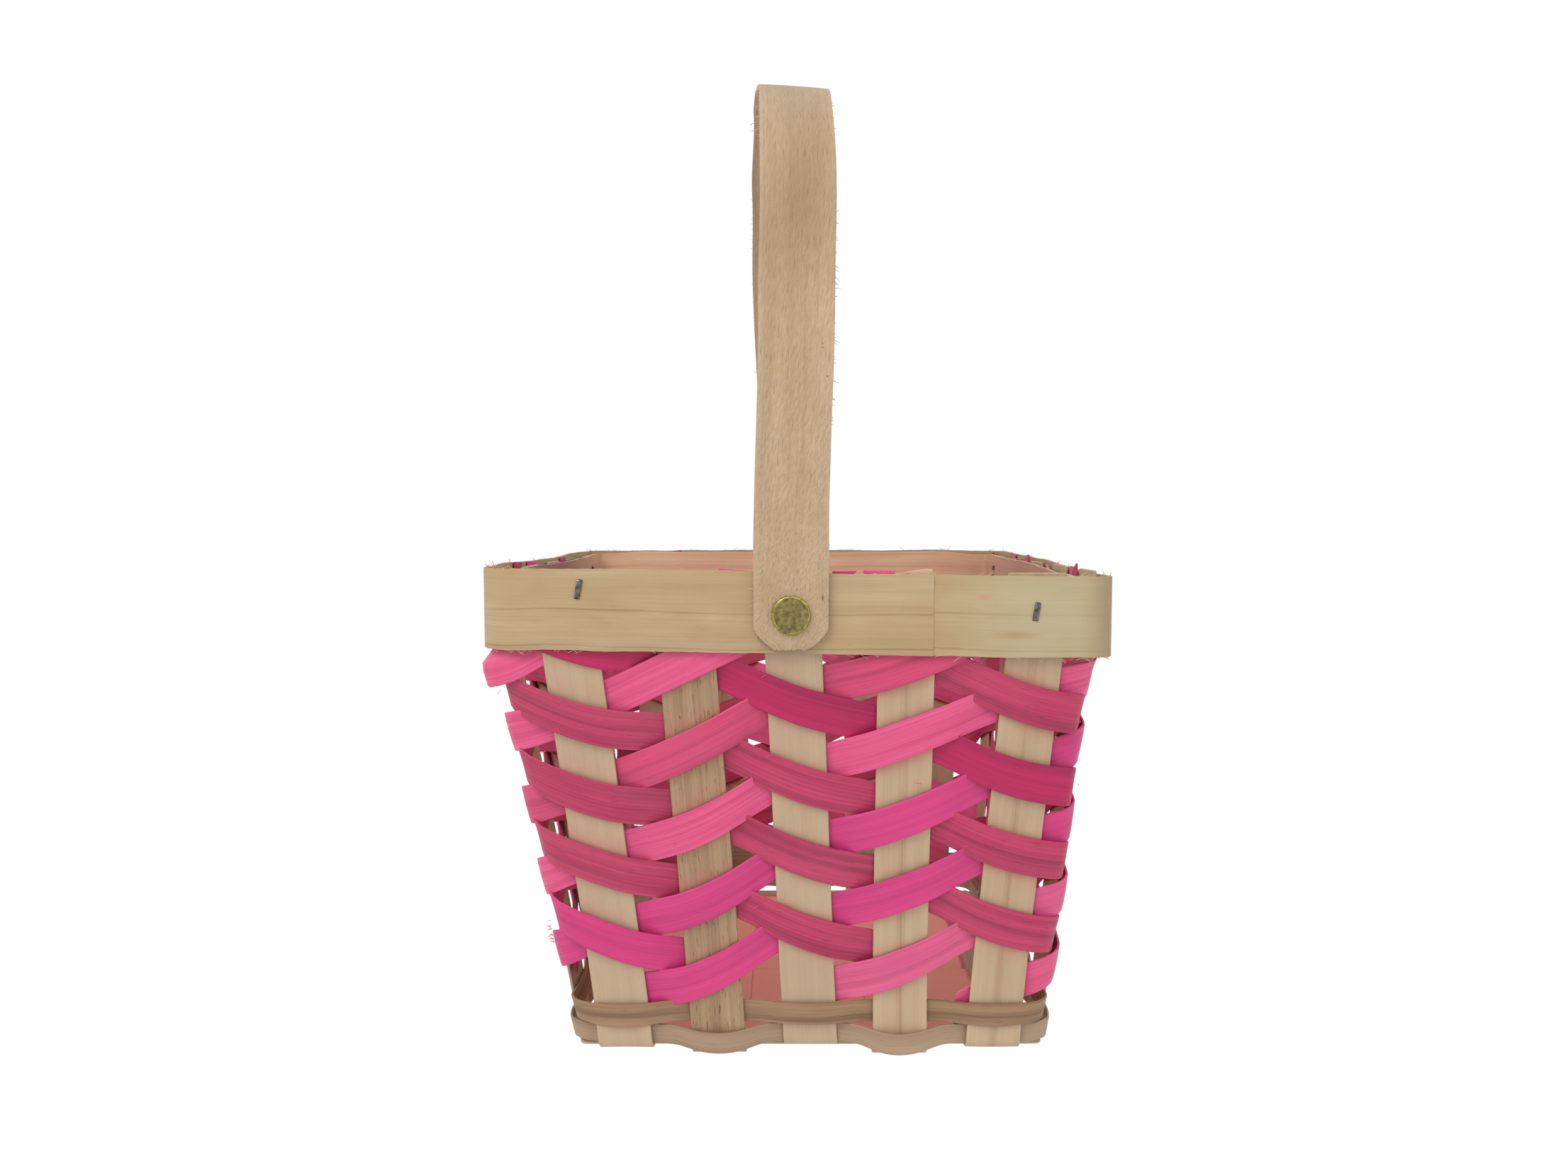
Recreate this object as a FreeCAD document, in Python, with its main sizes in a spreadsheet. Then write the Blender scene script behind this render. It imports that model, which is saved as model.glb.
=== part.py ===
import FreeCAD, Part
import math
import os
import Sketcher
from FreeCAD import Vector

# Square chip-wood basket with a swing handle. Millimetres, +Z up, front wall at -Y.
# The origin is the middle of the basket's footprint on the surface it stands on.

SIZES = {
    "rim_width": 183.0,         # outside of the outer rim band, both ways
    "rim_top": 150.0,
    "band_height": 23.3,
    "band_thick": 1.1,
    "band_corner": 9.0,         # outer corner radius of the outer band
    "inner_drop": 0.5,          # the inner band's top sits this much lower
    "inner_band_height": 21.5,
    "stake_drop": 1.0,          # the stakes end this much below the rim's top
    "foot_half": 72.3,          # half width of the stakes' mid surface at the base
    "fold_height": 131.0,       # the walls lean out up to here, then stand upright in the rim
    "base_shift": 4.4,          # the base sits this far to the right of the rim
    "stake_width": 16.5,
    "stake_thick": 0.8,
    "weaver_drop": 11.8,        # a weaver climbs or falls this much from stake to stake
    "weaver_tall": 10.5,        # a weaver's height, measured up the wall
    "weaver_thick": 0.7,
    "gap": 0.1,                 # air between woven strips
    "top_crossing": 123.0,      # height at which the highest weavers cross an even stake
    "wall_chamfer": 5.0,        # weavers cut the wall's upright corners by this much
    "ring_high": 13.2,          # middle heights and widths of the two base rings
    "ring_high_tall": 6.4,
    "ring_low": 5.9,
    "ring_low_tall": 6.0,
    "strap_width": 21.2,
    "strap_thick": 1.6,
    "strap_foot": 127.2,        # height of the strap's lower ends
    "strap_clip_wide": 5.0,     # corners clipped off the strap's ends
    "strap_clip_tall": 7.0,
    "pivot_height": 137.2,
    "pivot_shift": -2.0,        # the rivets sit a little left of the middle
    "shank_radius": 1.9,
    "pivot_play": 0.05,         # radial play of the strap on the rivet
    "shank_play": 0.1,          # radial play of the rivet in the bands
    "slip": 0.3,                # air between the strap and what it slides on
    "cap_radius": 5.5,
    "cap_thick": 1.0,
    "cap_edge": 0.35,
    "washer_radius": 4.5,
    "washer_thick": 0.7,
    "tail_radius": 3.0,
    "tail_thick": 0.8,
    "staple_long": 5.6,
    "staple_wire": 1.2,
    "staple_thick": 0.6,
    "staple_tilt": 100.0,
}

# Stake centres along a wall, counted left to right as seen from outside.
FRONT_TOP = (-66.0, -32.5, -1.5, 31.3, 68.5)
FRONT_FOOT = (-56.5, -28.0, 0.0, 27.0, 55.5)
SIDE_TOP = (-67.0, -33.5, 0.0, 33.5, 67.0)
SIDE_FOOT = (-56.0, -28.0, 0.0, 28.0, 56.0)

# The two staples of a wall, by its end stakes: how far along it and how high.
FRONT_STAPLES = ((-62.5, 144.3), (67.9, 138.0))
OTHER_STAPLES = ((-67.0, 142.0), (67.0, 142.0))

# The strap's bend above the rim: (radius, lean at the end of the arc in degrees, inward positive).
STRAP_BENDS = ((500.0, -3.0), (343.0, 10.0), (58.0, 62.0))
STRAP_STRAIGHT_TOP = 150.0

CROSSINGS = 9                   # crossings of a weaver with stakes between rim and base
SWAP = 0.022                    # half of the stretch, mid-way between stakes, where weavers swap sides
EDGE_REST = 0.7                 # a weaver stays flat this far past a stake's edge
LOWER_TUCK = 0.12               # a pink weaver's lower end passes a stake's middle by this share of a pitch

doc = FreeCAD.newDocument("easter_basket")
sheet = doc.addObject("Spreadsheet::Sheet", "Sizes")
for row, (word, value) in enumerate(SIZES.items(), start=1):
    sheet.set("A%d" % row, word)
    sheet.set("B%d" % row, str(value))
    sheet.setAlias("B%d" % row, word)
doc.recompute()


def size(word):
    return float(getattr(sheet, word))


RIM_HALF = size("rim_width") / 2
STAKE_HALF = size("stake_thick") / 2
WEAVER_HALF = size("weaver_thick") / 2
OVER = STAKE_HALF + size("gap") + WEAVER_HALF          # a weaver's middle, out from the stakes' middle
PASS = WEAVER_HALF + size("gap") / 2                   # the same where two weavers pass each other
TOP_HALF = RIM_HALF - size("band_thick") - size("gap") - WEAVER_HALF - OVER
STAKE_TOP = size("rim_top") - size("stake_drop")
parts = []


def keep(label, made):
    made.Label = label
    parts.append(made)
    return made


# ---------------------------------------------------------------- walls

def wall_half(z):
    """Half width of the stakes' mid surface at a height."""
    rise = min(z, size("fold_height")) / size("fold_height")
    return size("foot_half") + (TOP_HALF - size("foot_half")) * rise


def centre_x(z):
    return size("base_shift") * (1 - min(z, size("fold_height")) / size("fold_height"))


def wall_point(wall, along, z, out):
    """A point on wall 0 front, 1 right, 2 rear or 3 left; along runs to the right as seen from outside."""
    reach = wall_half(z) + out
    x, y = ((along, -reach), (reach, along), (-along, reach), (-reach, -along))[wall % 4]
    return Vector(centre_x(z) + x, y, z)


def inner_half():
    """Half width of the inner band, outside: it clears the weavers at its own lower edge."""
    low = size("rim_top") - size("inner_drop") - size("inner_band_height")
    return wall_half(low) - OVER - WEAVER_HALF - size("gap")


def stake_along(wall, index, z):
    top, foot = (FRONT_TOP, FRONT_FOOT) if wall % 2 == 0 else (SIDE_TOP, SIDE_FOOT)
    if wall % 4 >= 2:
        top = tuple(-v for v in reversed(top))
        foot = tuple(-v for v in reversed(foot))
    rise = min(z, size("fold_height")) / size("fold_height")
    return foot[index] + (top[index] - foot[index]) * rise


def corner_walk(wall, z):
    """Lengths from a wall's last stake to its corner, across the corner, and on to the next stake."""
    corner = chamfer_along(z, 0)
    return corner - stake_along(wall, 4, z), math.sqrt(2) * size("wall_chamfer"), \
        corner + stake_along(wall + 1, 0, z)


def chamfer_along(z, out):
    return wall_half(z) - size("wall_chamfer") + (math.sqrt(2) - 1) * out


# ---------------------------------------------------------------- solids from flat faces

def facets(corners):
    """One face through four corners, or two where they don't lie in a plane."""
    a, b, c, d = corners
    normal = (b - a).cross(c - a)
    if normal.Length > 1e-9 and abs((d - a).dot(normal) / normal.Length) < 1e-7:
        return [Part.Face(Part.makePolygon([a, b, c, d, a]))]
    return [Part.Face(Part.makePolygon([a, b, c, a])), Part.Face(Part.makePolygon([a, c, d, a]))]


def solid_through(sections, closed=False):
    """A solid whose cross-section runs through four-cornered sections."""
    faces = []
    if not closed:
        faces += facets(sections[0]) + facets(sections[-1])
    runs = list(zip(sections, sections[1:]))
    if closed:
        runs.append((sections[-1], sections[0]))
    for near, far in runs:
        for k in range(4):
            after = (k + 1) % 4
            faces += facets((near[k], far[k], far[after], near[after]))
    made = Part.makeSolid(Part.makeShell(faces))
    if made.Volume < 0:
        made.reverse()
    return made


def add_strip(label, shape):
    strip = doc.addObject("Part::Feature", label)
    strip.Shape = shape
    strip.Placement = FreeCAD.Placement()
    return keep(label, strip)


# ---------------------------------------------------------------- stakes

def base_levels(order):
    """Heights at which a front-to-rear stake crosses the five side stakes in the base."""
    under = STAKE_HALF
    over = 5 * STAKE_HALF + 2 * size("gap")
    return [over if (order + k) % 2 == 0 else under for k in range(5)]


def stake_sections(wall, index, level):
    """Upright sections of one stake from the base's fold to the rim."""
    half = size("stake_width") / 2
    rows = []
    heights = (level, size("fold_height"), STAKE_TOP)
    for number, z in enumerate(heights):
        outer_z = z - STAKE_HALF if number == 0 else z
        inner_z = z + STAKE_HALF if number == 0 else z
        section = []
        for side, out, height in ((-1, STAKE_HALF, outer_z), (1, STAKE_HALF, outer_z),
                                  (1, -STAKE_HALF, inner_z), (-1, -STAKE_HALF, inner_z)):
            along = stake_along(wall, index, height) + side * half
            section.append(wall_point(wall, along, height, out))
        rows.append(section)
    return rows


def front_stake(index):
    levels = base_levels(index)
    half = size("stake_width") / 2
    front = stake_sections(0, index, levels[0])
    rear = stake_sections(2, 4 - index, levels[-1])
    base = []
    for k, level in enumerate(levels):
        middle = SIDE_FOOT[k]
        for y in (middle - half - EDGE_REST, middle + half + EDGE_REST):
            x = FRONT_FOOT[index] + size("base_shift")
            base.append([Vector(x - half, y, level - STAKE_HALF), Vector(x + half, y, level - STAKE_HALF),
                         Vector(x + half, y, level + STAKE_HALF), Vector(x - half, y, level + STAKE_HALF)])
    flipped = [[s[1], s[0], s[3], s[2]] for s in rear]
    return solid_through(front[::-1] + base + flipped)


def side_stake(index):
    level = 3 * STAKE_HALF + size("gap")
    right = stake_sections(1, index, level)
    left = stake_sections(3, 4 - index, level)
    flipped = [[s[1], s[0], s[3], s[2]] for s in left]
    return solid_through(right[::-1] + flipped)


def rivet_hole():
    """A cylinder through the front and rear walls where the rivets pass."""
    return Part.makeCylinder(size("shank_radius") + size("shank_play"), 2 * RIM_HALF,
                             Vector(size("pivot_shift"), -RIM_HALF, size("pivot_height")), Vector(0, 1, 0))


for index in range(5):
    shape = front_stake(index)
    if index == 2:
        shape = shape.cut(rivet_hole())
    add_strip("stake_front_%d" % (index + 1), shape)
for index in range(5):
    add_strip("stake_side_%d" % (index + 1), side_stake(index))


# ---------------------------------------------------------------- weavers and base rings

def between(stake, share, z, out, mid_z):
    """A point a share of the way from one stake to the next, round the corner if there is one."""
    wall, index = divmod(stake, 5)
    if index < 4:
        here = stake_along(wall, index, z)
        there = stake_along(wall, index + 1, z)
        return wall_point(wall, here + (there - here) * share, z, out)
    first, across, last = corner_walk(wall, mid_z)
    total = first + across + last
    corner = chamfer_along(z, out)
    if share <= first / total:
        here = stake_along(wall, 4, z)
        return wall_point(wall, here + (corner - here) * share * total / first, z, out)
    near = wall_point(wall, corner, z, out)
    far = wall_point(wall + 1, -corner, z, out)
    if share <= (first + across) / total:
        return near + (far - near) * ((share * total - first) / across)
    there = stake_along(wall + 1, 0, z)
    left = (total - share * total) / last
    return wall_point(wall + 1, there - (there + corner) * left, z, out)


def corner_shares(stake, mid_z):
    """Where a strip between two stakes turns the wall's corner."""
    wall, index = divmod(stake, 5)
    if index < 4:
        return []
    first, across, last = corner_walk(wall, mid_z)
    total = first + across + last
    return [first / total, (first + across) / total]


def edge_share(stake, mid_z):
    """How far past a stake's middle a strip stays flat, as a share of the way to the next one."""
    wall, index = divmod(stake, 5)
    flat = size("stake_width") / 2 + EDGE_REST
    if index < 4:
        return flat / (stake_along(wall, index + 1, mid_z) - stake_along(wall, index, mid_z))
    return flat / sum(corner_walk(wall, mid_z))


def span(stake, z_start, z_end, side, tall, first_share=0.0, last_share=1.0):
    """Sections of a strip from one stake to the next, changing from one side of the stakes to the other."""
    mid_z = (z_start + z_end) / 2
    edge = edge_share(stake, mid_z)
    knots = [(0.0, OVER), (edge, OVER), (0.5 - SWAP, PASS), (0.5 + SWAP, -PASS), (1 - edge, -OVER), (1.0, -OVER)]
    shares = sorted({k[0] for k in knots} | set(corner_shares(stake, mid_z)) | {first_share, last_share})
    sections = []
    for share in shares:
        if share < first_share - 1e-9 or share > last_share + 1e-9:
            continue
        for (s0, o0), (s1, o1) in zip(knots, knots[1:]):
            if s0 <= share <= s1:
                out = side * (o0 + (o1 - o0) * (share - s0) / (s1 - s0))
                break
        middle = z_start + (z_end - z_start) * share
        low = middle - tall / 2
        high = min(middle + tall / 2, size("fold_height"))
        section = []
        for z, skin in ((high, WEAVER_HALF), (low, WEAVER_HALF), (low, -WEAVER_HALF), (high, -WEAVER_HALF)):
            section.append(between(stake, share, z, out + skin, mid_z))
        sections.append(section)
    return sections


def crossing(number):
    return size("top_crossing") - size("weaver_drop") * number


def weaver_down(first_stake):
    """A deep-rose strip: from the rim beside an odd stake, down to the right, to behind an even one."""
    sections = []
    tall = size("weaver_tall")
    for step in range(CROSSINGS + 1):
        stake = (first_stake + step) % 20
        side = 1 if step % 2 == 0 else -1
        z_start = crossing(step - 1)
        start = edge_share(stake, z_start) if step == 0 else 0.0
        end = edge_share(stake, z_start) if step == CROSSINGS else 1.0
        made = span(stake, z_start, crossing(step), side, tall, start, end)
        sections += made if step == 0 else made[1:]
    return solid_through(sections)


def weaver_up(first_stake):
    """A hot-pink strip: from behind an odd stake at the base, up to the right, into the rim."""
    sections = []
    tall = size("weaver_tall")
    for step in range(-1, CROSSINGS + 1):
        stake = (first_stake + step) % 20
        side = 1 if step % 2 == 1 else -1
        z_start = crossing(CROSSINGS - step)
        start = 1 - LOWER_TUCK if step == -1 else 0.0
        end = 1 - edge_share(stake, z_start) if step == CROSSINGS else 1.0
        made = span(stake, z_start, crossing(CROSSINGS - step - 1), side, tall, start, end)
        sections += made if step == -1 else made[1:]
    return solid_through(sections)


def ring(middle, tall, side):
    """A closed ring woven over every other stake."""
    sections = []
    for stake in range(20):
        flip = side if stake % 2 == 0 else -side
        sections += span(stake, middle, middle, flip, tall)[1:]
    return solid_through(sections, closed=True)


for number in range(10):
    add_strip("weaver_down_%02d" % (number + 1), weaver_down(2 * number))
for number in range(10):
    add_strip("weaver_up_%02d" % (number + 1), weaver_up(2 * number))
add_strip("base_ring_upper", ring(size("ring_high"), size("ring_high_tall"), 1))
add_strip("base_ring_lower", ring(size("ring_low"), size("ring_low_tall"), -1))


# ---------------------------------------------------------------- sketch helpers

def origin_plane(body, role):
    for feature in body.Origin.OriginFeatures:
        if feature.Role == role:
            return feature
    raise ValueError(role)


def new_body(label):
    return keep(label, doc.addObject("PartDesign::Body", label))


def new_sketch(body, role, name):
    sketch = body.newObject("Sketcher::SketchObject", name)
    sketch.AttachmentSupport = (origin_plane(body, role), [""])
    sketch.MapMode = "FlatFace"
    return sketch


def rounded_square(sketch, half, radius):
    straight = half - radius
    for turn in range(4):
        spin = FreeCAD.Rotation(Vector(0, 0, 1), 90 * turn)
        sketch.addGeometry(Part.LineSegment(spin.multVec(Vector(-straight, -half, 0)),
                                            spin.multVec(Vector(straight, -half, 0))), False)
        circle = Part.Circle(spin.multVec(Vector(straight, -straight, 0)), Vector(0, 0, 1), radius)
        begin = math.radians(-90 + 90 * turn)
        sketch.addGeometry(Part.ArcOfCircle(circle, begin, begin + math.pi / 2), False)


def pierce(body, sketch, name):
    """Cut a sketch through the whole body, both ways from its plane."""
    before = body.Shape.Volume
    pocket = body.newObject("PartDesign::Pocket", name)
    pocket.Profile = sketch
    pocket.Type = 1
    pocket.Midplane = True
    doc.recompute()
    if body.Shape.Volume >= before:
        raise RuntimeError(name + " cuts nothing")


def rivet_circle(sketch, radius_formula):
    """The rivet's hole in a sketch on the XZ plane, its radius bound to the sheet."""
    place = Vector(size("pivot_shift"), size("pivot_height"), 0)
    ring_id = sketch.addGeometry(Part.Circle(place, Vector(0, 0, 1), size("shank_radius")), False)
    sketch.addConstraint(Sketcher.Constraint("Radius", ring_id, size("shank_radius")))
    sketch.setExpression("Constraints[0]", radius_formula)


# ---------------------------------------------------------------- rim bands

def rim_band(label, half, radius, low_formula, height_formula):
    body = new_body(label)
    outline = new_sketch(body, "XY_Plane", label + "_outline")
    rounded_square(outline, half, radius)
    rounded_square(outline, half - size("band_thick"), radius - size("band_thick"))
    outline.setExpression(".AttachmentOffset.Base.z", low_formula)
    pad = body.newObject("PartDesign::Pad", label + "_pad")
    pad.Profile = outline
    pad.setExpression("Length", height_formula)
    doc.recompute()
    holes = new_sketch(body, "XZ_Plane", label + "_holes")
    rivet_circle(holes, "Sizes.shank_radius + Sizes.shank_play")
    pierce(body, holes, label + "_pocket")


INNER_HALF = inner_half()
rim_band("rim_band_outer", RIM_HALF, size("band_corner"),
         "Sizes.rim_top - Sizes.band_height", "Sizes.band_height")
rim_band("rim_band_inner", INNER_HALF, size("band_corner") - size("band_thick"),
         "Sizes.rim_top - Sizes.inner_drop - Sizes.inner_band_height", "Sizes.inner_band_height")


# ---------------------------------------------------------------- handle

def bend_point(y, z, radius, start, end):
    """Where an arc ends that starts at (y, z) and turns from one lean to another, both in degrees."""
    a, b = math.radians(start), math.radians(end)
    return y + radius * (math.cos(b) - math.cos(a)), z + radius * (math.sin(b) - math.sin(a))


def strap_line():
    """The strap's middle line from its front foot to its crown, as (start, mid, end, lean) of each arc."""
    y, z = RIM_HALF + size("slip") + size("strap_thick") / 2, STRAP_STRAIGHT_TOP
    arcs = []
    lean = 0.0
    for radius, next_lean in STRAP_BENDS + ((None, 90.0),):
        if radius is None:
            radius = y / math.cos(math.radians(lean))
        turn = -radius if next_lean < lean else radius
        middle = (lean + next_lean) / 2
        mid_point = bend_point(y, z, turn, lean, middle)
        end_point = bend_point(y, z, turn, lean, next_lean)
        arcs.append(((y, z, lean), mid_point + (middle,), end_point + (next_lean,)))
        y, z = end_point
        lean = next_lean
    return arcs


def beside(point, shift):
    """A point moved outward, square to the strap's middle line; sketch x is -Y on the front leg."""
    y, z, lean = point
    return y + shift * math.cos(math.radians(lean)), z + shift * math.sin(math.radians(lean))


def strap_side(sketch, shift):
    """One skin of the whole strap: up the front leg, over and down the rear one."""
    straight = RIM_HALF + size("slip") + size("strap_thick") / 2 + shift
    for sign in (-1, 1):
        foot = Vector(sign * straight, size("strap_foot"), 0)
        sketch.addGeometry(Part.LineSegment(foot, Vector(sign * straight, STRAP_STRAIGHT_TOP, 0)), False)
        for arc in strap_line():
            a, b, c = [Vector(sign * y, z, 0) for y, z in (beside(point, shift) for point in arc)]
            sketch.addGeometry(Part.Arc(a, b, c), False)


handle = new_body("handle_strap")
profile = new_sketch(handle, "YZ_Plane", "handle_profile")
strap_side(profile, size("strap_thick") / 2)
strap_side(profile, -size("strap_thick") / 2)
for sign in (-1, 1):
    inside = sign * (RIM_HALF + size("slip"))
    outside = inside + sign * size("strap_thick")
    profile.addGeometry(Part.LineSegment(Vector(inside, size("strap_foot"), 0),
                                         Vector(outside, size("strap_foot"), 0)), False)
strap_pad = handle.newObject("PartDesign::Pad", "handle_pad")
strap_pad.Profile = profile
strap_pad.setExpression("Length", "Sizes.strap_width")
strap_pad.Midplane = True
doc.recompute()

clips = new_sketch(handle, "XZ_Plane", "handle_clips")
clips.addGeometry(Part.Circle(Vector(0, size("pivot_height"), 0), Vector(0, 0, 1), size("shank_radius")), False)
clips.addConstraint(Sketcher.Constraint("Radius", 0, size("shank_radius")))
clips.setExpression("Constraints[0]", "Sizes.shank_radius + Sizes.pivot_play")
for sign in (-1, 1):
    edge = sign * size("strap_width") / 2
    corner = [Vector(edge, size("strap_foot"), 0),
              Vector(edge - sign * size("strap_clip_wide"), size("strap_foot"), 0),
              Vector(edge, size("strap_foot") + size("strap_clip_tall"), 0)]
    for a, b in zip(corner, corner[1:] + corner[:1]):
        clips.addGeometry(Part.LineSegment(a, b), False)
pierce(handle, clips, "handle_pocket")
handle.setExpression(".Placement.Base.x", "Sizes.pivot_shift")


# ---------------------------------------------------------------- rivets and washers

def turned(label, outline, facing):
    """A round piece turned about the rivet's axis; the outline is (radius, distance from the middle)."""
    body = new_body(label)
    sketch = new_sketch(body, "YZ_Plane", label + "_outline")
    points = [Vector(facing * reach, radius, 0) for radius, reach in outline]
    for a, b in zip(points, points[1:] + points[:1]):
        sketch.addGeometry(Part.LineSegment(a, b), False)
    turn = body.newObject("PartDesign::Revolution", label + "_turn")
    turn.Profile = sketch
    turn.ReferenceAxis = (sketch, ["H_Axis"])
    turn.Angle = 360.0
    body.setExpression(".Placement.Base.x", "Sizes.pivot_shift")
    body.setExpression(".Placement.Base.z", "Sizes.pivot_height")
    doc.recompute()


CAP_UNDER = RIM_HALF + 2 * size("slip") + size("strap_thick")
WASHER_OUT = INNER_HALF - size("band_thick") - size("gap") / 2
TAIL_OUT = WASHER_OUT - size("washer_thick") - size("gap") / 2
for name, facing in (("front", -1), ("rear", 1)):
    cap = [(0.0, TAIL_OUT - size("tail_thick")), (size("tail_radius"), TAIL_OUT - size("tail_thick") / 2),
           (size("tail_radius"), TAIL_OUT), (size("shank_radius"), TAIL_OUT),
           (size("shank_radius"), CAP_UNDER), (size("cap_radius"), CAP_UNDER),
           (size("cap_radius"), CAP_UNDER + size("cap_thick") - size("cap_edge")),
           (size("cap_radius") - size("cap_edge"), CAP_UNDER + size("cap_thick")),
           (0.0, CAP_UNDER + size("cap_thick"))]
    turned("rivet_" + name, cap, facing)
    hole = size("shank_radius") + size("shank_play")
    disc = [(hole, WASHER_OUT - size("washer_thick")), (size("washer_radius"), WASHER_OUT - size("washer_thick")),
            (size("washer_radius"), WASHER_OUT), (hole, WASHER_OUT)]
    turned("washer_" + name, disc, facing)


# ---------------------------------------------------------------- staples

def staple(wall, along, height):
    """A staple through the rim: its crown outside, its legs driven through and folded over inside."""
    wire, thick, long = size("staple_wire"), size("staple_thick"), size("staple_long")
    depth = RIM_HALF - INNER_HALF + size("band_thick") + 2 * thick
    crown = Part.makeBox(long, thick, wire, Vector(-long / 2, -thick, -wire / 2))
    pieces = []
    for side in (-1, 1):
        x = side * (long - thick) / 2 - thick / 2
        pieces.append(Part.makeBox(thick, depth, wire, Vector(x, -thick, -wire / 2)))
        fold = Part.makeBox(long / 3, thick, wire, Vector(0, depth - 2 * thick, -wire / 2))
        fold.translate(Vector(x if side < 0 else x + thick - long / 3, 0, 0))
        pieces.append(fold)
    made = crown.multiFuse(pieces).removeSplitter()
    made.rotate(Vector(), Vector(0, 1, 0), size("staple_tilt"))
    made.translate(Vector(along, -RIM_HALF, height))
    made.rotate(Vector(), Vector(0, 0, 1), 90 * wall)
    return made


staples = []
for wall in range(4):
    for along, height in FRONT_STAPLES if wall == 0 else OTHER_STAPLES:
        staples.append(staple(wall, along, height))
add_strip("rim_staples", Part.makeCompound(staples))


# ---------------------------------------------------------------- check and write

doc.recompute()
for thing in doc.Objects:
    if "Invalid" in thing.State or "Error" in thing.State:
        raise RuntimeError("%s failed: %s" % (thing.Label, thing.State))
for made in parts:
    if made.Shape.isNull() or not made.Shape.isValid():
        raise RuntimeError(made.Label + " has no valid shape")

os.makedirs("parts", exist_ok=True)
for made in parts:
    made.Shape.exportStep("parts/%s.step" % made.Label)
    box = made.Shape.BoundBox
    print("%-18s %9.1f mm3  z %6.1f..%6.1f  solids %d" %
          (made.Label, made.Shape.Volume, box.ZMin, box.ZMax, len(made.Shape.Solids)))
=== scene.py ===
# %% [markdown]
# # A woven chip-wood basket with a swing handle
# The basket is made of flat strips of thin wood: pale upright stakes, dyed weavers that run aslant
# round the walls, a rim band inside and outside, and one bent strap for a handle. Each strip is a
# piece of its own here too, because it was cut, dyed and woven on its own.

# %% Load the frame
import bisect
import math
import random

import bpy
from mathutils import Matrix, Vector, noise


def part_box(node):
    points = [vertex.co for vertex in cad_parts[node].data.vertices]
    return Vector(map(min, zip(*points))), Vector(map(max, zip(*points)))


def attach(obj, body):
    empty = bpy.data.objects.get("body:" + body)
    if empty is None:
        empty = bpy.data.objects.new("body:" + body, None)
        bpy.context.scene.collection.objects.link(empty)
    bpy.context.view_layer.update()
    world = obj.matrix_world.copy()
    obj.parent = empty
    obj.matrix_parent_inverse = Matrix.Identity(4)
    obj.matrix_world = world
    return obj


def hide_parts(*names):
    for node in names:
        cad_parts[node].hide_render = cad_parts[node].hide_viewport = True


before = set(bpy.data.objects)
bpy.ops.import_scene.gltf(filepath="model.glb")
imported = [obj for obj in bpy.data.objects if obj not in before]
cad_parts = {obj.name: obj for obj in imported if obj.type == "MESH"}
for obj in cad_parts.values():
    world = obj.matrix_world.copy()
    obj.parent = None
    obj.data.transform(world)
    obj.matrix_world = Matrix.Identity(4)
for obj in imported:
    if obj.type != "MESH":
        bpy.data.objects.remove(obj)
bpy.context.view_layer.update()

MM = 0.001

# %% [markdown]
# ## The basket's measures
# The frame says where the rim and the base are. The walls lean out in a straight line from the base
# to the fold inside the rim, so two heights and two half widths describe all four of them. The
# stakes' places are a short list, because a hand-made basket never has them evenly spaced.

# %% Measures taken from the frame
rim_low, rim_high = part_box("rim_band_outer")
RIM_HALF = (rim_high.x - rim_low.x) / 2
RIM_TOP = rim_high.z
RIM_FOOT = rim_low.z
inner_low, inner_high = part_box("rim_band_inner")
INNER_HALF = (inner_high.x - inner_low.x) / 2
rivet_low, rivet_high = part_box("rivet_front")
PIVOT = Vector(((rivet_low.x + rivet_high.x) / 2, 0, (rivet_low.z + rivet_high.z) / 2))
BAND_THICK = 1.1 * MM
STAKE_THICK = 0.8 * MM
WEAVER_THICK = 0.7 * MM
STAKE_WIDE = 16.5 * MM
FOLD = 131 * MM                 # the walls lean out up to this height
FOOT_HALF = 72.3 * MM
TOP_HALF = 89.1 * MM
BASE_SHIFT = 4.4 * MM
DROP = 11.8 * MM                # a weaver climbs or falls this much from one stake to the next
TOP_CROSSING = 123 * MM
CORNER = 7 * MM                 # radius of the strips' bend round the basket's corners
FRONT_TOP = [v * MM for v in (-66.0, -32.5, -1.5, 31.3, 68.5)]
FRONT_FOOT = [v * MM for v in (-56.5, -28.0, 0.0, 27.0, 55.5)]
SIDE_TOP = [v * MM for v in (-67.0, -33.5, 0.0, 33.5, 67.0)]
SIDE_FOOT = [v * MM for v in (-56.0, -28.0, 0.0, 28.0, 56.0)]
STAKES = 20
FOOT_OUT = [v * MM for v in (2.8, 2.3, 0.2, 2.9, 2.4)]
SQUEEZE = 2.4 * MM              # the right wall is pressed in this much under the rim
print("rim", RIM_HALF, RIM_FOOT, RIM_TOP, "pivot", PIVOT)


# %% [markdown]
# ## Finding a place on the walls
# Every strip follows the walls, so one function turns "so many stakes round, so high, so far out"
# into a point. A strip is then laid by asking for each of its points in turn. Between the last stake
# of a wall and the first of the next, the way goes round a small arc, because a wet strip bends
# round a corner and never folds.

# %% Points on the walls
def rise(z):
    return min(z, FOLD) / FOLD


def wall_half(z):
    return FOOT_HALF + (TOP_HALF - FOOT_HALF) * rise(z)


def stake_along(wall, index, z):
    """A stake's place along its wall, to the right of the middle as seen from outside."""
    top, foot = (FRONT_TOP, FRONT_FOOT) if wall % 2 == 0 else (SIDE_TOP, SIDE_FOOT)
    if wall % 4 >= 2:
        return -(foot[4 - index] + (top[4 - index] - foot[4 - index]) * rise(z))
    return foot[index] + (top[index] - foot[index]) * rise(z)


def ease(value):
    value = min(max(value, 0), 1)
    return value * value * (3 - 2 * value)


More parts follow.
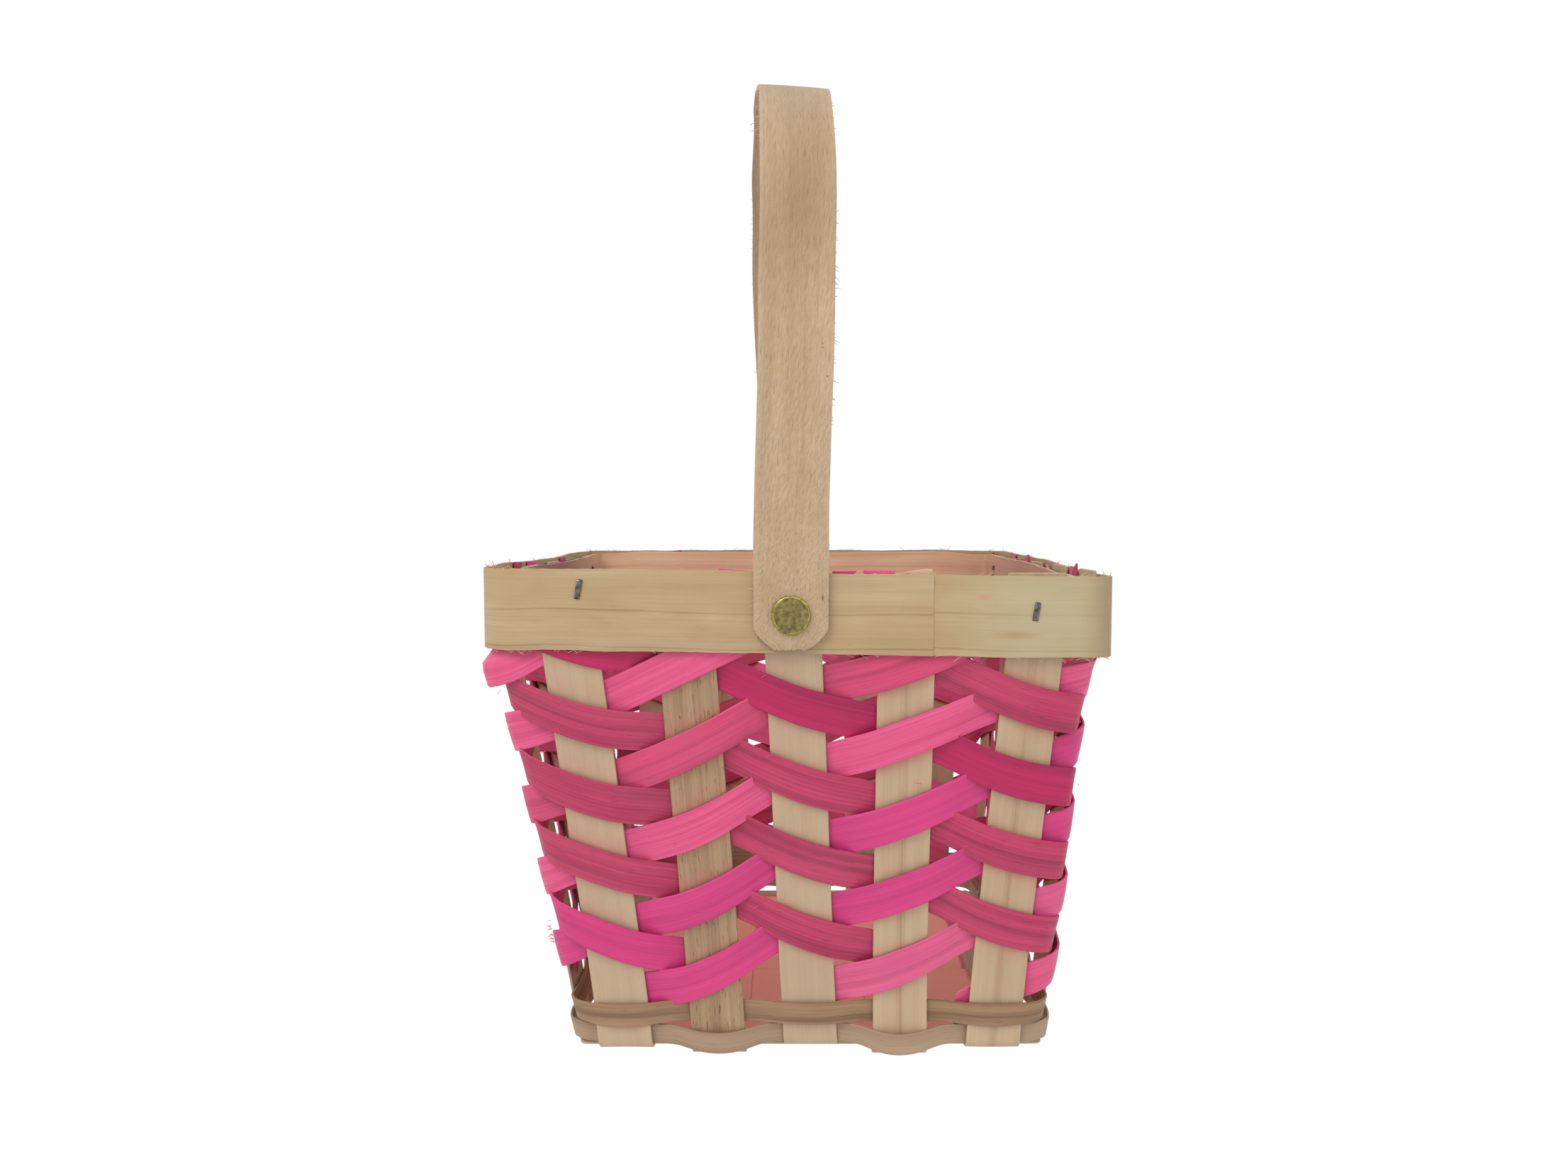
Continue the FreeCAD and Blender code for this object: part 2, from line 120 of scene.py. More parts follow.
def turned(wall, along, reach, z):
    """From a wall's own directions to the basket's: wall 0 front, 1 right, 2 rear, 3 left."""
    if wall % 4 == 0:
        reach += foot_bulge(along) * math.exp(-((z / (13 * MM)) ** 2))
    x, y = ((along, -reach), (reach, along), (-along, reach), (-reach, -along))[wall % 4]
    x -= (SQUEEZE * ease((x - 76 * MM) / (9 * MM)) * ease(z / (105 * MM))
          * (1 - ease((z - 120 * MM) / (8 * MM))))
    return Vector((x + BASE_SHIFT * (1 - rise(z)), y, z))


def foot_bulge(along):
    """The front stakes' feet don't all turn under at the same line."""
    total = 0.0
    for middle, out in zip(FRONT_FOOT, FOOT_OUT):
        total += out * math.exp(-(((along - middle) / (12 * MM)) ** 2))
    return total


def wall_spot(q, z, out):
    """The point q stakes round from the front left stake, at height z, out from the stakes' middle."""
    stake = math.floor(q) % STAKES
    share = q - math.floor(q)
    wall, index = divmod(stake, 5)
    half = wall_half(z)
    if index < 4:
        here, there = stake_along(wall, index, z), stake_along(wall, index + 1, z)
        return turned(wall, here + (there - here) * share, half + out, z)
    flat = half - CORNER
    first = flat - stake_along(wall, 4, z)
    last = flat + stake_along(wall + 1, 0, z)
    arc = CORNER * math.pi / 2
    walked = share * (first + arc + last)
    if walked < first:
        return turned(wall, flat - first + walked, half + out, z)
    if walked < first + arc:
        angle = (walked - first) / CORNER
        reach = CORNER + out
        return turned(wall, flat + reach * math.sin(angle), flat + reach * math.cos(angle), z)
    return turned(wall + 1, walked - first - arc - flat, half + out, z)


print("front left stake at 60 mm:", wall_spot(0, 60 * MM, 0))


# %% [markdown]
# ## Laying a strip
# A real strip is a flat ribbon of veneer. Here it starts as a flat grid, one row of faces for every
# couple of millimetres of its length; each point is moved to its place on the route, and Solidify
# gives it the veneer's thickness. The grid keeps its flat UV map, measured in metres, so the grain
# runs along every strip at one scale however the strip bends.

# %% A helper that lays one strip
def finish_mesh(piece, thickness, soft=0.22):
    """Give a laid sheet its thickness and take the sharpness off its edges."""
    solid = piece.modifiers.new("thickness", "SOLIDIFY")
    solid.thickness = thickness
    solid.offset = 0
    bevel = piece.modifiers.new("edges", "BEVEL")
    bevel.width = thickness * soft
    bevel.segments = 1 if soft < 0.3 else 2
    bevel.limit_method = "ANGLE"
    bevel.angle_limit = math.radians(60)
    for modifier in (solid, bevel):
        bpy.ops.object.modifier_apply(modifier=modifier.name)


def lay_strip(name, steps, rows, place, thickness, length, width, bled_dye_and_floor_light=None, shift=None, soft=0.22):
    """A strip of `steps` by `rows` faces; place(u, v) gives a point, u 0 to 1 along, v -1 to 1 across."""
    bpy.ops.object.select_all(action="DESELECT")
    bpy.ops.mesh.primitive_grid_add(x_subdivisions=steps, y_subdivisions=rows, size=2, calc_uvs=True)
    piece = bpy.context.object
    piece.name = name
    piece.data.name = name
    mesh = piece.data
    pick = random.Random(name)
    shift = shift or (pick.uniform(0, 40), pick.uniform(0, 40))
    spots = [((v.co.x + 1) / 2, v.co.y) for v in mesh.vertices]
    across = mesh.attributes.new("across", "FLOAT", "POINT")
    across.data.foreach_set("value", [v for u, v in spots])
    if bled_dye_and_floor_light:
        dye_and_floor_light = mesh.attributes.new("dye_and_floor_light", "FLOAT", "POINT")
        dye_and_floor_light.data.foreach_set("value", [bled_dye_and_floor_light(u, v) for u, v in spots])
    grain = mesh.uv_layers.active.data
    for loop in mesh.loops:
        u, v = spots[loop.vertex_index]
        grain[loop.index].uv = (u * length + shift[0], v * width / 2 + shift[1])
    for vertex, (u, v) in zip(mesh.vertices, spots):
        vertex.co = place(u, v)
    mesh.update()
    finish_mesh(piece, thickness, soft)
    bpy.ops.object.shade_smooth_by_angle(angle=math.radians(40))
    return piece


def wander(seed, distance, size):
    """A slow random drift along a strip, never more than about `size`."""
    return noise.noise(Vector((distance, seed * 7.31, seed * 3.17))) * size


# %% [markdown]
# ## The finishes
# All the wood shares one effect: long fibres, broader growth bands and short dark pores. That is a
# node group, so each finish only says how strong each of them is and which colours it mixes.

# %% The grain as a node group
def new_group(name, inputs, outputs):
    group = bpy.data.node_groups.new(name, "ShaderNodeTree")
    for label, kind, value in inputs:
        socket = group.interface.new_socket(name=label, in_out="INPUT", socket_type=kind)
        if value is not None:
            socket.default_value = value
    for label, kind in outputs:
        group.interface.new_socket(name=label, in_out="OUTPUT", socket_type=kind)
    return group, group.nodes.new("NodeGroupInput"), group.nodes.new("NodeGroupOutput")


def stretched_noise(tree, source, along, across, detail, rough=0.55, slant=0.0):
    """Noise drawn out along the strip: so many changes a metre each way."""
    scale = tree.nodes.new("ShaderNodeMapping")
    scale.vector_type = "TEXTURE"
    along, across = 1 / along, 1 / across
    scale.inputs["Rotation"].default_value = (0, 0, slant)
    scale.inputs["Scale"].default_value = (along, across, 1)
    tree.links.new(source, scale.inputs["Vector"])
    clouds = tree.nodes.new("ShaderNodeTexNoise")
    clouds.noise_dimensions = "2D"
    clouds.inputs["Scale"].default_value = 1
    clouds.inputs["Detail"].default_value = detail
    clouds.inputs["Roughness"].default_value = rough
    tree.links.new(scale.outputs[0], clouds.inputs["Vector"])
    return clouds.outputs["Fac"]


def to_range(tree, value, low, high, out_low=0.0, out_high=1.0):
    node = tree.nodes.new("ShaderNodeMapRange")
    node.inputs["From Min"].default_value = low
    node.inputs["From Max"].default_value = high
    node.inputs["To Min"].default_value = out_low
    node.inputs["To Max"].default_value = out_high
    tree.links.new(value, node.inputs["Value"])
    return node.outputs[0]


def arithmetic(tree, operation, first, second):
    node = tree.nodes.new("ShaderNodeMath")
    node.operation = operation
    for slot, value in zip(node.inputs, (first, second)):
        if isinstance(value, (int, float)):
            slot.default_value = value
        else:
            tree.links.new(value, slot)
    return node.outputs[0]


grain_group, grain_in, grain_out = new_group(
    "wood_grain", [("Place", "NodeSocketVector", None)],
    [("Fibre", "NodeSocketFloat"), ("Band", "NodeSocketFloat"), ("Pore", "NodeSocketFloat"),
     ("Cloud", "NodeSocketFloat"), ("Fuzz", "NodeSocketFloat"), ("Sway", "NodeSocketFloat")])
place_in = grain_in.outputs["Place"]
fibre = to_range(grain_group, stretched_noise(grain_group, place_in, 22, 1500, 4), 0.3, 0.7)
band = to_range(grain_group, stretched_noise(grain_group, place_in, 7, 330, 3), 0.32, 0.68)
pore = to_range(grain_group, stretched_noise(grain_group, place_in, 190, 2300, 2), 0.66, 0.76)
cloud = to_range(grain_group, stretched_noise(grain_group, place_in, 28, 75, 3), 0.3, 0.7)
fuzz = to_range(grain_group, stretched_noise(grain_group, place_in, 330, 1300, 3, slant=0.22), 0.34, 0.66)
sway = to_range(grain_group, stretched_noise(grain_group, place_in, 9, 9, 1), 0.3, 0.7, -1, 1)
for label, value in (("Fibre", fibre), ("Band", band), ("Pore", pore), ("Cloud", cloud), ("Fuzz", fuzz),
                     ("Sway", sway)):
    grain_group.links.new(value, grain_out.inputs[label])
print("grain group outputs", [s.name for s in grain_out.inputs if s.name])


# %% [markdown]
# A second group puts one soft-edged mark at a chosen place on a strip: a knot, a crack, a smear or a patch of
# painted shade.

# %% One mark on a strip
def vector_math(tree, operation, first, second=None, output="Vector"):
    node = tree.nodes.new("ShaderNodeVectorMath")
    node.operation = operation
    tree.links.new(first, node.inputs[0])
    if second is not None:
        tree.links.new(second, node.inputs[1])
    return node.outputs[output]


mark_group, mark_in, mark_out = new_group(
    "strip_mark", [("Place", "NodeSocketVector", None), ("Centre", "NodeSocketVector", (0, 0, 0)),
                   ("Reach", "NodeSocketVector", (1, 1, 1))], [("Mask", "NodeSocketFloat")])
offset = vector_math(mark_group, "SUBTRACT", mark_in.outputs["Place"], mark_in.outputs["Centre"])
spread = vector_math(mark_group, "DIVIDE", offset, mark_in.outputs["Reach"])
distance = vector_math(mark_group, "LENGTH", spread, output="Value")
mark_group.links.new(to_range(mark_group, distance, 0.2, 1, 1, 0), mark_out.inputs["Mask"])
print("mark group inputs", [s.name for s in mark_in.outputs if s.name])


# %% [markdown]
# Every wood finish is made in one way: two shades are mixed along the grain, then come blotches,
# veins, a darker core, pores, colour bled over from a dyed neighbour, painted pink floor light, long
# lines, pale edges and single marks, a few of them painted shade. A finish asks only for what it needs.

# %% A maker of wood finishes
def mix_colour(tree, share, first, second):
    node = tree.nodes.new("ShaderNodeMix")
    node.data_type = "RGBA"
    for socket, value in ((node.inputs[0], share), (node.inputs[6], first), (node.inputs[7], second)):
        if isinstance(value, (int, float)):
            socket.default_value = value
        elif isinstance(value, tuple):
            socket.default_value = value + (1.0,)
        else:
            tree.links.new(value, socket)
    return node.outputs[2]


def attribute(tree, name):
    node = tree.nodes.new("ShaderNodeAttribute")
    node.attribute_name = name
    return node.outputs["Fac"]


TONE = 0.78                     # the studio is brighter than the light a paint chart is read in


def colour(red, green, blue):
    """From the 0 to 255 of a paint chart to the linear values that shaders mix."""
    return tuple(TONE * ((v / 255 + 0.055) / 1.055) ** 2.4 for v in (red, green, blue))


# Painted light: the pink light that the dyed walls throw on the floor, brighter than any paint-chart colour
# so the shaded floor still comes out light.
PAINTED_FLOOR_LIGHT = colour(270, 192, 166)


def wood(name, pale, deep, vein, fibre=0.5, band=0.5, vein_share=0.3, pore=0.35, cloud=0.4, cloud_colour=None,
         core=0.0, core_colour=None, stain_colour=None, rough=0.62, bump=0.25, fuzz=0.0, lines=(), marks=(),
         edge_colour=None):
    """A wood finish: pale and deep mixed along the grain, veins, pores, blotches, bled colour, painted floor
    light.
    """
    material = bpy.data.materials.new(name)
    material.use_nodes = True
    tree = material.node_tree
    shader = tree.nodes["Principled BSDF"]
    where = tree.nodes.new("ShaderNodeTexCoord").outputs["UV"]
    grain = tree.nodes.new("ShaderNodeGroup")
    grain.node_tree = grain_group
    tree.links.new(where, grain.inputs["Place"])
    share = arithmetic(tree, "ADD", arithmetic(tree, "MULTIPLY", grain.outputs["Fibre"], fibre),
                       arithmetic(tree, "MULTIPLY", grain.outputs["Band"], band))
    if fuzz:
        share = arithmetic(tree, "ADD", share, arithmetic(tree, "MULTIPLY", grain.outputs["Fuzz"], fuzz))
    shade = mix_colour(tree, share, pale, deep)
    blotch = arithmetic(tree, "MULTIPLY", grain.outputs["Cloud"], cloud)
    shade = mix_colour(tree, blotch, shade, cloud_colour or deep)
    veins = arithmetic(tree, "MULTIPLY", arithmetic(tree, "POWER", grain.outputs["Band"], 3.0), vein_share)
    shade = mix_colour(tree, veins, shade, vein)
    if core:
        middle = to_range(tree, arithmetic(tree, "ABSOLUTE", attribute(tree, "across"), 0), 0.0, 0.22, 1, 0)
        middle = arithmetic(tree, "MULTIPLY", arithmetic(tree, "MULTIPLY", middle, core),
                            arithmetic(tree, "ADD", grain.outputs["Fibre"], 0.4))
        shade = mix_colour(tree, middle, shade, core_colour or vein)
    pores = arithmetic(tree, "MULTIPLY", grain.outputs["Pore"], pore)
    shade = mix_colour(tree, pores, shade, vein)
    if stain_colour:
        uneven = arithmetic(tree, "ADD", arithmetic(tree, "MULTIPLY", grain.outputs["Cloud"], 0.7), 0.5)
        bled = arithmetic(tree, "MULTIPLY", attribute(tree, "dye_and_floor_light"), uneven)
        shade = mix_colour(tree, bled, shade, stain_colour)
        # Above 1 the value marks the floor, which takes the painted pink light that the walls throw on it.
        shade = mix_colour(tree, to_range(tree, attribute(tree, "dye_and_floor_light"), 1.0, 2.0, 0, 0.9), shade, PAINTED_FLOOR_LIGHT)
    for height, strength in lines:
        swayed = arithmetic(tree, "ADD", attribute(tree, "across"),
                            arithmetic(tree, "MULTIPLY", grain.outputs["Sway"], 0.1))
        away = arithmetic(tree, "ABSOLUTE", arithmetic(tree, "SUBTRACT", swayed, height), 0)
        line = arithmetic(tree, "MULTIPLY", to_range(tree, away, 0.0, 0.035, strength, 0),
                          arithmetic(tree, "ADD", grain.outputs["Cloud"], 0.5))
        shade = mix_colour(tree, line, shade, vein)
    if edge_colour:
        edge = to_range(tree, arithmetic(tree, "ABSOLUTE", attribute(tree, "across"), 0), 0.86, 0.95, 0, 0.3)
        shade = mix_colour(tree, edge, shade, edge_colour)
    for centre, reach, strength, mark_colour in marks:
        mark = tree.nodes.new("ShaderNodeGroup")
        mark.node_tree = mark_group
        tree.links.new(where, mark.inputs["Place"])
        mark.inputs["Centre"].default_value = (centre[0] * MM, centre[1] * MM, 0)
        mark.inputs["Reach"].default_value = (reach[0] * MM, reach[1] * MM, 1)
        shade = mix_colour(tree, arithmetic(tree, "MULTIPLY", mark.outputs[0], strength), shade, mark_colour)
    tree.links.new(shade, shader.inputs["Base Color"])
    shader.inputs["Specular IOR Level"].default_value = 0.35
    rougher = arithmetic(tree, "MULTIPLY", grain.outputs["Fibre"], 0.14)
    rougher = arithmetic(tree, "ADD", rougher, rough - 0.07)
    tree.links.new(rougher, shader.inputs["Roughness"])
    relief = tree.nodes.new("ShaderNodeBump")
    relief.inputs["Strength"].default_value = bump
    relief.inputs["Distance"].default_value = 0.12 * MM
    height = arithmetic(tree, "SUBTRACT", grain.outputs["Fibre"], grain.outputs["Pore"])
    if fuzz:
        height = arithmetic(tree, "ADD", height, grain.outputs["Fuzz"])
    tree.links.new(height, relief.inputs["Height"])
    tree.links.new(relief.outputs[0], shader.inputs["Normal"])
    return material


# %% [markdown]
# The bare wood is a warm cream. The dyed strips took up their colour unevenly, so each kind has one
# common finish and a few deeper, brighter or paler ones that single strips wear.

# %% The finishes of this basket
PINK_STAIN = colour(214, 110, 118)
stake_wood = wood("stake_wood", colour(206, 180, 148), colour(188, 158, 128), colour(160, 124, 92),
                  fibre=0.24, band=0.24, vein_share=0.04, pore=0.06, stain_colour=PINK_STAIN)
streaky_wood = wood("streaky_stake_wood", colour(190, 162, 126), colour(162, 128, 96), colour(92, 66, 48),
                    fibre=0.6, band=0.35, vein_share=0.2, pore=1.0, stain_colour=PINK_STAIN)
cored_wood = wood("cored_stake_wood", colour(206, 180, 146), colour(188, 158, 126), colour(160, 120, 82),
                  fibre=0.26, band=0.24, vein_share=0.06, pore=0.08, core=0.45,
                  core_colour=colour(164, 124, 88), stain_colour=PINK_STAIN)
pale_ring_wood = wood("pale_base_ring_wood", colour(186, 159, 130), colour(162, 131, 102),
                      colour(140, 106, 76), fibre=0.4, band=0.4, vein_share=0.25, pore=0.3)
ring_wood = wood("base_ring_wood", colour(176, 142, 108), colour(148, 112, 82), colour(110, 80, 56),
                 vein_share=0.5, pore=0.4)
rose_dye = wood("rose_dyed_wood", colour(210, 66, 108), colour(172, 40, 80), colour(122, 44, 70),
                fibre=0.6, band=0.4, vein_share=0.35, pore=0.6, cloud_colour=colour(202, 84, 110), cloud=0.4,
                rough=0.5)
deep_rose_dye = wood("deep_rose_dyed_wood", colour(206, 38, 100), colour(180, 26, 86), colour(128, 32, 70),
                     fibre=0.5, vein_share=0.4, pore=0.4, cloud=0.3, rough=0.48)
bright_rose_dye = wood("bright_rose_dyed_wood", colour(230, 68, 136), colour(206, 48, 116),
                       colour(150, 50, 92), fibre=0.5, vein_share=0.3, pore=0.35, cloud=0.3, rough=0.5)
pink_dye = wood("pink_dyed_wood", colour(248, 106, 152), colour(218, 70, 120), colour(186, 58, 98),
                fibre=0.6, band=0.4, vein_share=0.2, pore=0.3, cloud_colour=colour(230, 84, 140), cloud=0.5,
                rough=0.5)
hot_pink_dye = wood("hot_pink_dyed_wood", colour(234, 74, 140), colour(212, 54, 120), colour(176, 48, 98),
                    fibre=0.5, vein_share=0.3, pore=0.3, cloud_colour=colour(206, 58, 132), cloud=0.5,
                    rough=0.5)
rim_wood = wood("rim_wood", colour(199, 175, 137), colour(179, 151, 113), colour(146, 116, 76),
                fibre=0.35, band=0.3, vein_share=0.06, pore=0.14, cloud=0.7,
                cloud_colour=colour(180, 149, 106), rough=0.6, lines=((0.0, 0.55), (-0.86, 0.5)),
                marks=(((72, 0, 0), (34, 26, 1), 0.55, colour(192, 184, 150)),
                       ((62, -5.2, 0), (8.5, 1.4, 1), 0.55, colour(176, 136, 84)),
                       ((53, 5.6, 0), (2.6, 1.1, 1), 0.6, colour(206, 150, 124)),
                       # Painted shade: a thin dark line at the top of the lap seam, where the band's end
                       # steps over its beginning.
                       ((38.9, 8.5, 0), (0.5, 3.5, 1), 0.3, colour(150, 124, 88)),
                       # Painted shade: the band darkens round its front right corner, where it turns away
                       # from the light.
                       ((91, 0, 0), (11, 60, 1), 0.95, colour(168, 146, 112)),
                       ((-40, 0, 0), (26, 9, 1), 0.4, colour(176, 142, 98)),
                       ((-10, -3, 0), (30, 6, 1), 0.45, colour(176, 142, 98)),
                       ((28, 7.5, 0), (0.5, 0.4, 1), 0.8, colour(140, 100, 64)),
                       ((34.6, -6.6, 0), (0.5, 0.6, 1), 0.8, colour(136, 104, 70))))
inner_rim_wood = wood("inner_rim_wood", colour(240, 204, 168), colour(222, 180, 144), colour(176, 134, 102),
                      fibre=0.35, vein_share=0.15, pore=0.2, cloud=0.5, cloud_colour=colour(226, 166, 142),
                      # The two broad marks are painted shade on the inner band's right and left sides, which
                      # get less light than its rear.
                      rough=0.62, marks=(((175, 0, 0), (105, 60, 1), 0.75, colour(186, 138, 118)),
                                         ((525, 0, 0), (105, 60, 1), 0.95, colour(156, 108, 92))))
handle_wood = wood("handle_wood", colour(210, 184, 149), colour(184, 155, 122), colour(144, 110, 78),
                   fibre=0.15, band=0.25, vein_share=0.08, pore=0.1, cloud=0.5,
                   cloud_colour=colour(178, 147, 110), rough=0.7, bump=0.9, fuzz=0.5,
                   edge_colour=colour(206, 176, 152),
                   marks=(((35.5, 8.9, 0), (2.6, 0.3, 1), 0.9, colour(84, 60, 44)),
                          ((131.5, 7.3, 0), (0.45, 0.3, 1), 0.9, colour(120, 76, 48)),
                          ((130.4, 7.4, 0), (0.3, 0.25, 1), 0.9, colour(120, 76, 48)),
                          ((122.8, 8.9, 0), (0.45, 0.3, 1), 0.9, colour(120, 76, 48)),
                          ((18.4, 2.2, 0), (0.4, 0.4, 1), 0.9, colour(130, 84, 54)),
                          ((166, 0, 0), (30, 16, 1), 0.65, colour(158, 126, 92)),
                          ((205, 0, 0), (30, 16, 1), 0.6, colour(166, 148, 122)),
                          ((330, 0, 0), (60, 16, 1), 0.5, colour(150, 116, 84))))
fibre_wood = wood("frayed_fibre_wood", colour(222, 196, 168), colour(200, 168, 140), colour(170, 132, 104),
                  rough=0.7, bump=0.1)
dusty_pink_dye = wood("dusty_pink_dyed_wood", colour(232, 82, 124), colour(208, 60, 102),
                      colour(160, 58, 86), fibre=0.5, vein_share=0.4, pore=0.4,
                      cloud_colour=colour(204, 84, 122), cloud=0.5, rough=0.52)
pale_pink_dye = wood("pale_pink_dyed_wood", colour(244, 114, 154), colour(226, 88, 136),
                     colour(176, 76, 104), fibre=0.5, vein_share=0.3, pore=0.3,
                     cloud_colour=colour(222, 82, 138), cloud=0.6, rough=0.52)
print("finishes", len(bpy.data.materials))


# %% [markdown]
# ## The stakes
# A stake is one strip that comes down one wall, turns under the base and goes up the wall opposite.
# In the base the two sets of five weave plain, and the side-to-side strips spread until the floor is
# nearly closed. The floor lies between pink walls, so the pink light they throw on it is painted onto
# its strips. A stake's route is the middle line of the strip, walked in small steps: down the wall,
# round a tight bend, across the base and up again.

# %% Stakes
BEND = 2.6 * MM                 # radius of a stake's bend from the wall into the base
STEP = 2.6 * MM
LEVEL_UNDER = 0.4 * MM
LEVEL_MIDDLE = 1.3 * MM
LEVEL_OVER = 2.2 * MM
FLOOR_WIDE = 27.6 * MM          # width of the side-to-side strips in the base
STAKE_TOP = RIM_TOP - 1.0 * MM


def base_level(family, order, y):
    """Height of a stake's middle in the base, easing from under one crossing strip to over the next."""
    if family == "side":
        return LEVEL_MIDDLE
    marks = [(SIDE_FOOT[k], LEVEL_OVER if (order + k) % 2 == 0 else LEVEL_UNDER) for k in range(5)]
    if y <= marks[0][0]:
        return marks[0][1]
    for (y0, z0), (y1, z1) in zip(marks, marks[1:]):
        if y <= y1:
            share = (y - y0) / (y1 - y0)
            share = min(max((share - 0.44) / 0.12, 0), 1)
            return z0 + (z1 - z0) * share * share * (3 - 2 * share)
    return marks[-1][1]


def stake_line(family, index):
    """The stake's middle line: (along its U, height, sideways) from one rim to the other."""
    walls = (0, 2) if family == "front" else (3, 1)
    points = []
    for turn, wall in enumerate(walls):
        number = index if wall in (0, 1) else 4 - index
        low = base_level(family, index, -1 if turn == 0 else 1)
        arm = []
        z = STAKE_TOP
        while z > low + BEND:
            spot = turned(wall, stake_along(wall, number, z), wall_half(z), z)
            arm.append(spot)
            z -= STEP
        foot = turned(wall, stake_along(wall, number, low), wall_half(low), low)
        upright = turned(wall, stake_along(wall, number, low + BEND), wall_half(low + BEND), low + BEND)
        inward = turned(wall, stake_along(wall, number, low), wall_half(low) - BEND, low)
        for k in range(6):
            share = k / 5
            arm.append(upright.lerp(foot, share).lerp(foot.lerp(inward, share), share))
        points += arm if turn == 0 else [None] + arm[::-1]
    gap = points.index(None)
    start, end = points[gap - 1], points[gap + 1]
    count = int((end - start).length / STEP)
    base = []
    for k in range(1, count):
        spot = start.lerp(end, k / count)
        spot.z = base_level(family, index, spot.y if family == "front" else spot.x)
        base.append(spot)
    return points[:gap] + base + points[gap + 1:]


def lattice_stain(stake, z, side_shift):
    """How much colour has bled from the dyed weavers onto a stake: strong beside each weaver that crosses it,
    none between.
    """
    if z > RIM_FOOT + 4 * MM or z < 18 * MM:
        return 0.0
    total = 0.0
    even = stake % 2 == 1
    for number in range(9):
        if (number % 2 == 0) != even:
            continue
        slope = DROP / (31 * MM) * side_shift
        middle = TOP_CROSSING - number * DROP + (slope if even else -slope)
        edge = abs(z - middle) - 5.8 * MM
        pick = random.Random(stake * 31 + number)
        strength = pick.uniform(0.05, 0.6)
        reach = pick.uniform(1.0, 2.6) * MM
        total = max(total, strength * math.exp(-max(edge, 0) / reach))
    return total


def make_stake(family, index, finish):
    line = stake_line(family, index)
    seed = index + (10 if family == "side" else 0)
    across = Vector((1, 0, 0)) if family == "front" else Vector((0, 1, 0))
    walls = (0, 2) if family == "front" else (3, 1)
    last = len(line) - 1
    length = sum((b - a).length for a, b in zip(line, line[1:]))

    def normal(k):
        along = line[min(k + 1, last)] - line[max(k - 1, 0)]
        return across.cross(along).normalized()

    def place(u, v):
        k = min(int(round(u * last)), last)
        drift = wander(seed, u * 9, 0.5 * MM)
        half = STAKE_WIDE / 2 + wander(seed + 5, u * 40, 0.12 * MM) * (1 if v > 0 else -1)
        if family == "side":
            half += (FLOOR_WIDE - STAKE_WIDE) / 2 * (1 - ease((line[k].z - 1.5 * MM) / (1.4 * MM)))
        cup = 0.12 * MM * math.cos(v * math.pi / 2) * math.sin(u * 60 + seed)
        return line[k] + across * (v * half + drift * math.sin(math.pi * u)) + normal(k) * cup

    def bled_dye_and_floor_light(u, v):
        k = min(int(round(u * last)), last)
        spot = place(u, v)
        # The floor's strips get 2.0, so their finish paints on the pink light bounced from the walls.
        if spot.z < 2.6 * MM and max(abs(spot.x), abs(spot.y)) < 62 * MM:
            return 2.0                          # above 1 a finish turns to its floor tint
        wall = walls[0] if u < 0.5 else walls[1]
        number = index if wall in (0, 1) else 4 - index
        sideways = v * STAKE_WIDE / 2 * (1 if wall in (0, 1) else -1)
        return lattice_stain(5 * wall + number, line[k].z, sideways)

    name = "stake_%s_%d" % (family, index + 1)
    piece = lay_strip(name + "_strip", last, 6, place, STAKE_THICK, length, STAKE_WIDE, bled_dye_and_floor_light)
    piece.data.materials.append(finish)
    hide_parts(name)
    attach(piece, "basket")
    return piece


for index, finish in enumerate((stake_wood, streaky_wood, stake_wood, cored_wood, cored_wood)):
    make_stake("front", index, finish)
for index, finish in enumerate((stake_wood, cored_wood, stake_wood, streaky_wood, stake_wood)):
    make_stake("side", index, finish)
print("stakes laid")


# %% [markdown]
# ## The weavers
# The weavers don't run level. A rose strip falls to the right, over the odd stakes and under the
# even ones; a pink strip climbs to the right, over the even ones. The two cross at every stake with
# the stake between them. Half-way between stakes they pass each other edge to edge, so each strip
# leans a little there, its upper edge out, as they do when they are pushed down wet.

# %% Weavers
ROSE_WIDE = 11.0 * MM
PINK_WIDE = 11.0 * MM
BOW = 1.45 * MM                 # how far a strip's middle stands off the stakes' middle
RIM_BOW = 0.85 * MM
SMILE = 1.3 * MM                # half-way between stakes the strips stand this much higher
LEAN = 0.075                    # lean of a strip's face half-way between stakes
SIDE_SOFTNESS = 1.2
# Where a strip hangs loose: its number, the place and its reach in stakes, how far up and out.
LOOSE = ((206, 21.0, 0.6, 2.4, 0.0), (205, 19.45, 0.35, -4.6, 4.2), (206, 23.0, 0.5, 0.6, 0.0),
         (207, 21.0, 0.5, 0.8, 0.2), (208, 23.0, 0.5, 0.9, 0.3), (206, 19.55, 0.3, -0.4, 0.6),
         (100, 4.0, 0.6, -0.5, 0.4), (109, 20.0, 0.4, 0.0, 0.5), (200, 3.0, 0.5, 0.3, 0.4))


def sag(q, z):
    """How far the weave is pushed down, and up again, along the front and round its corners."""
    away = (q + STAKES / 2) % STAKES - STAKES / 2
    clear_of_base = min(max((z - 10 * MM) / (15 * MM), 0), 1)
    left = -3.3 * MM * math.exp(-((away - 0.2) / 1.2) ** 2)
    left -= 2.5 * MM * math.exp(-((away + 0.05) / 0.6) ** 2) * ease((z - 60 * MM) / (40 * MM))
    right = 2.3 * MM * math.exp(-((away - 4.7) / 0.75) ** 2) * (1 - 1.5 * ease((z - 95 * MM) / (20 * MM)))
    return (left + right) * clear_of_base


def side_of(q, over_even):
    """From 1, outside the stakes, to -1, inside them, at a place between stakes."""
    wave = math.cos(math.pi * q) * (-1 if over_even else 1)
    return math.tanh(SIDE_SOFTNESS * wave) / math.tanh(SIDE_SOFTNESS)


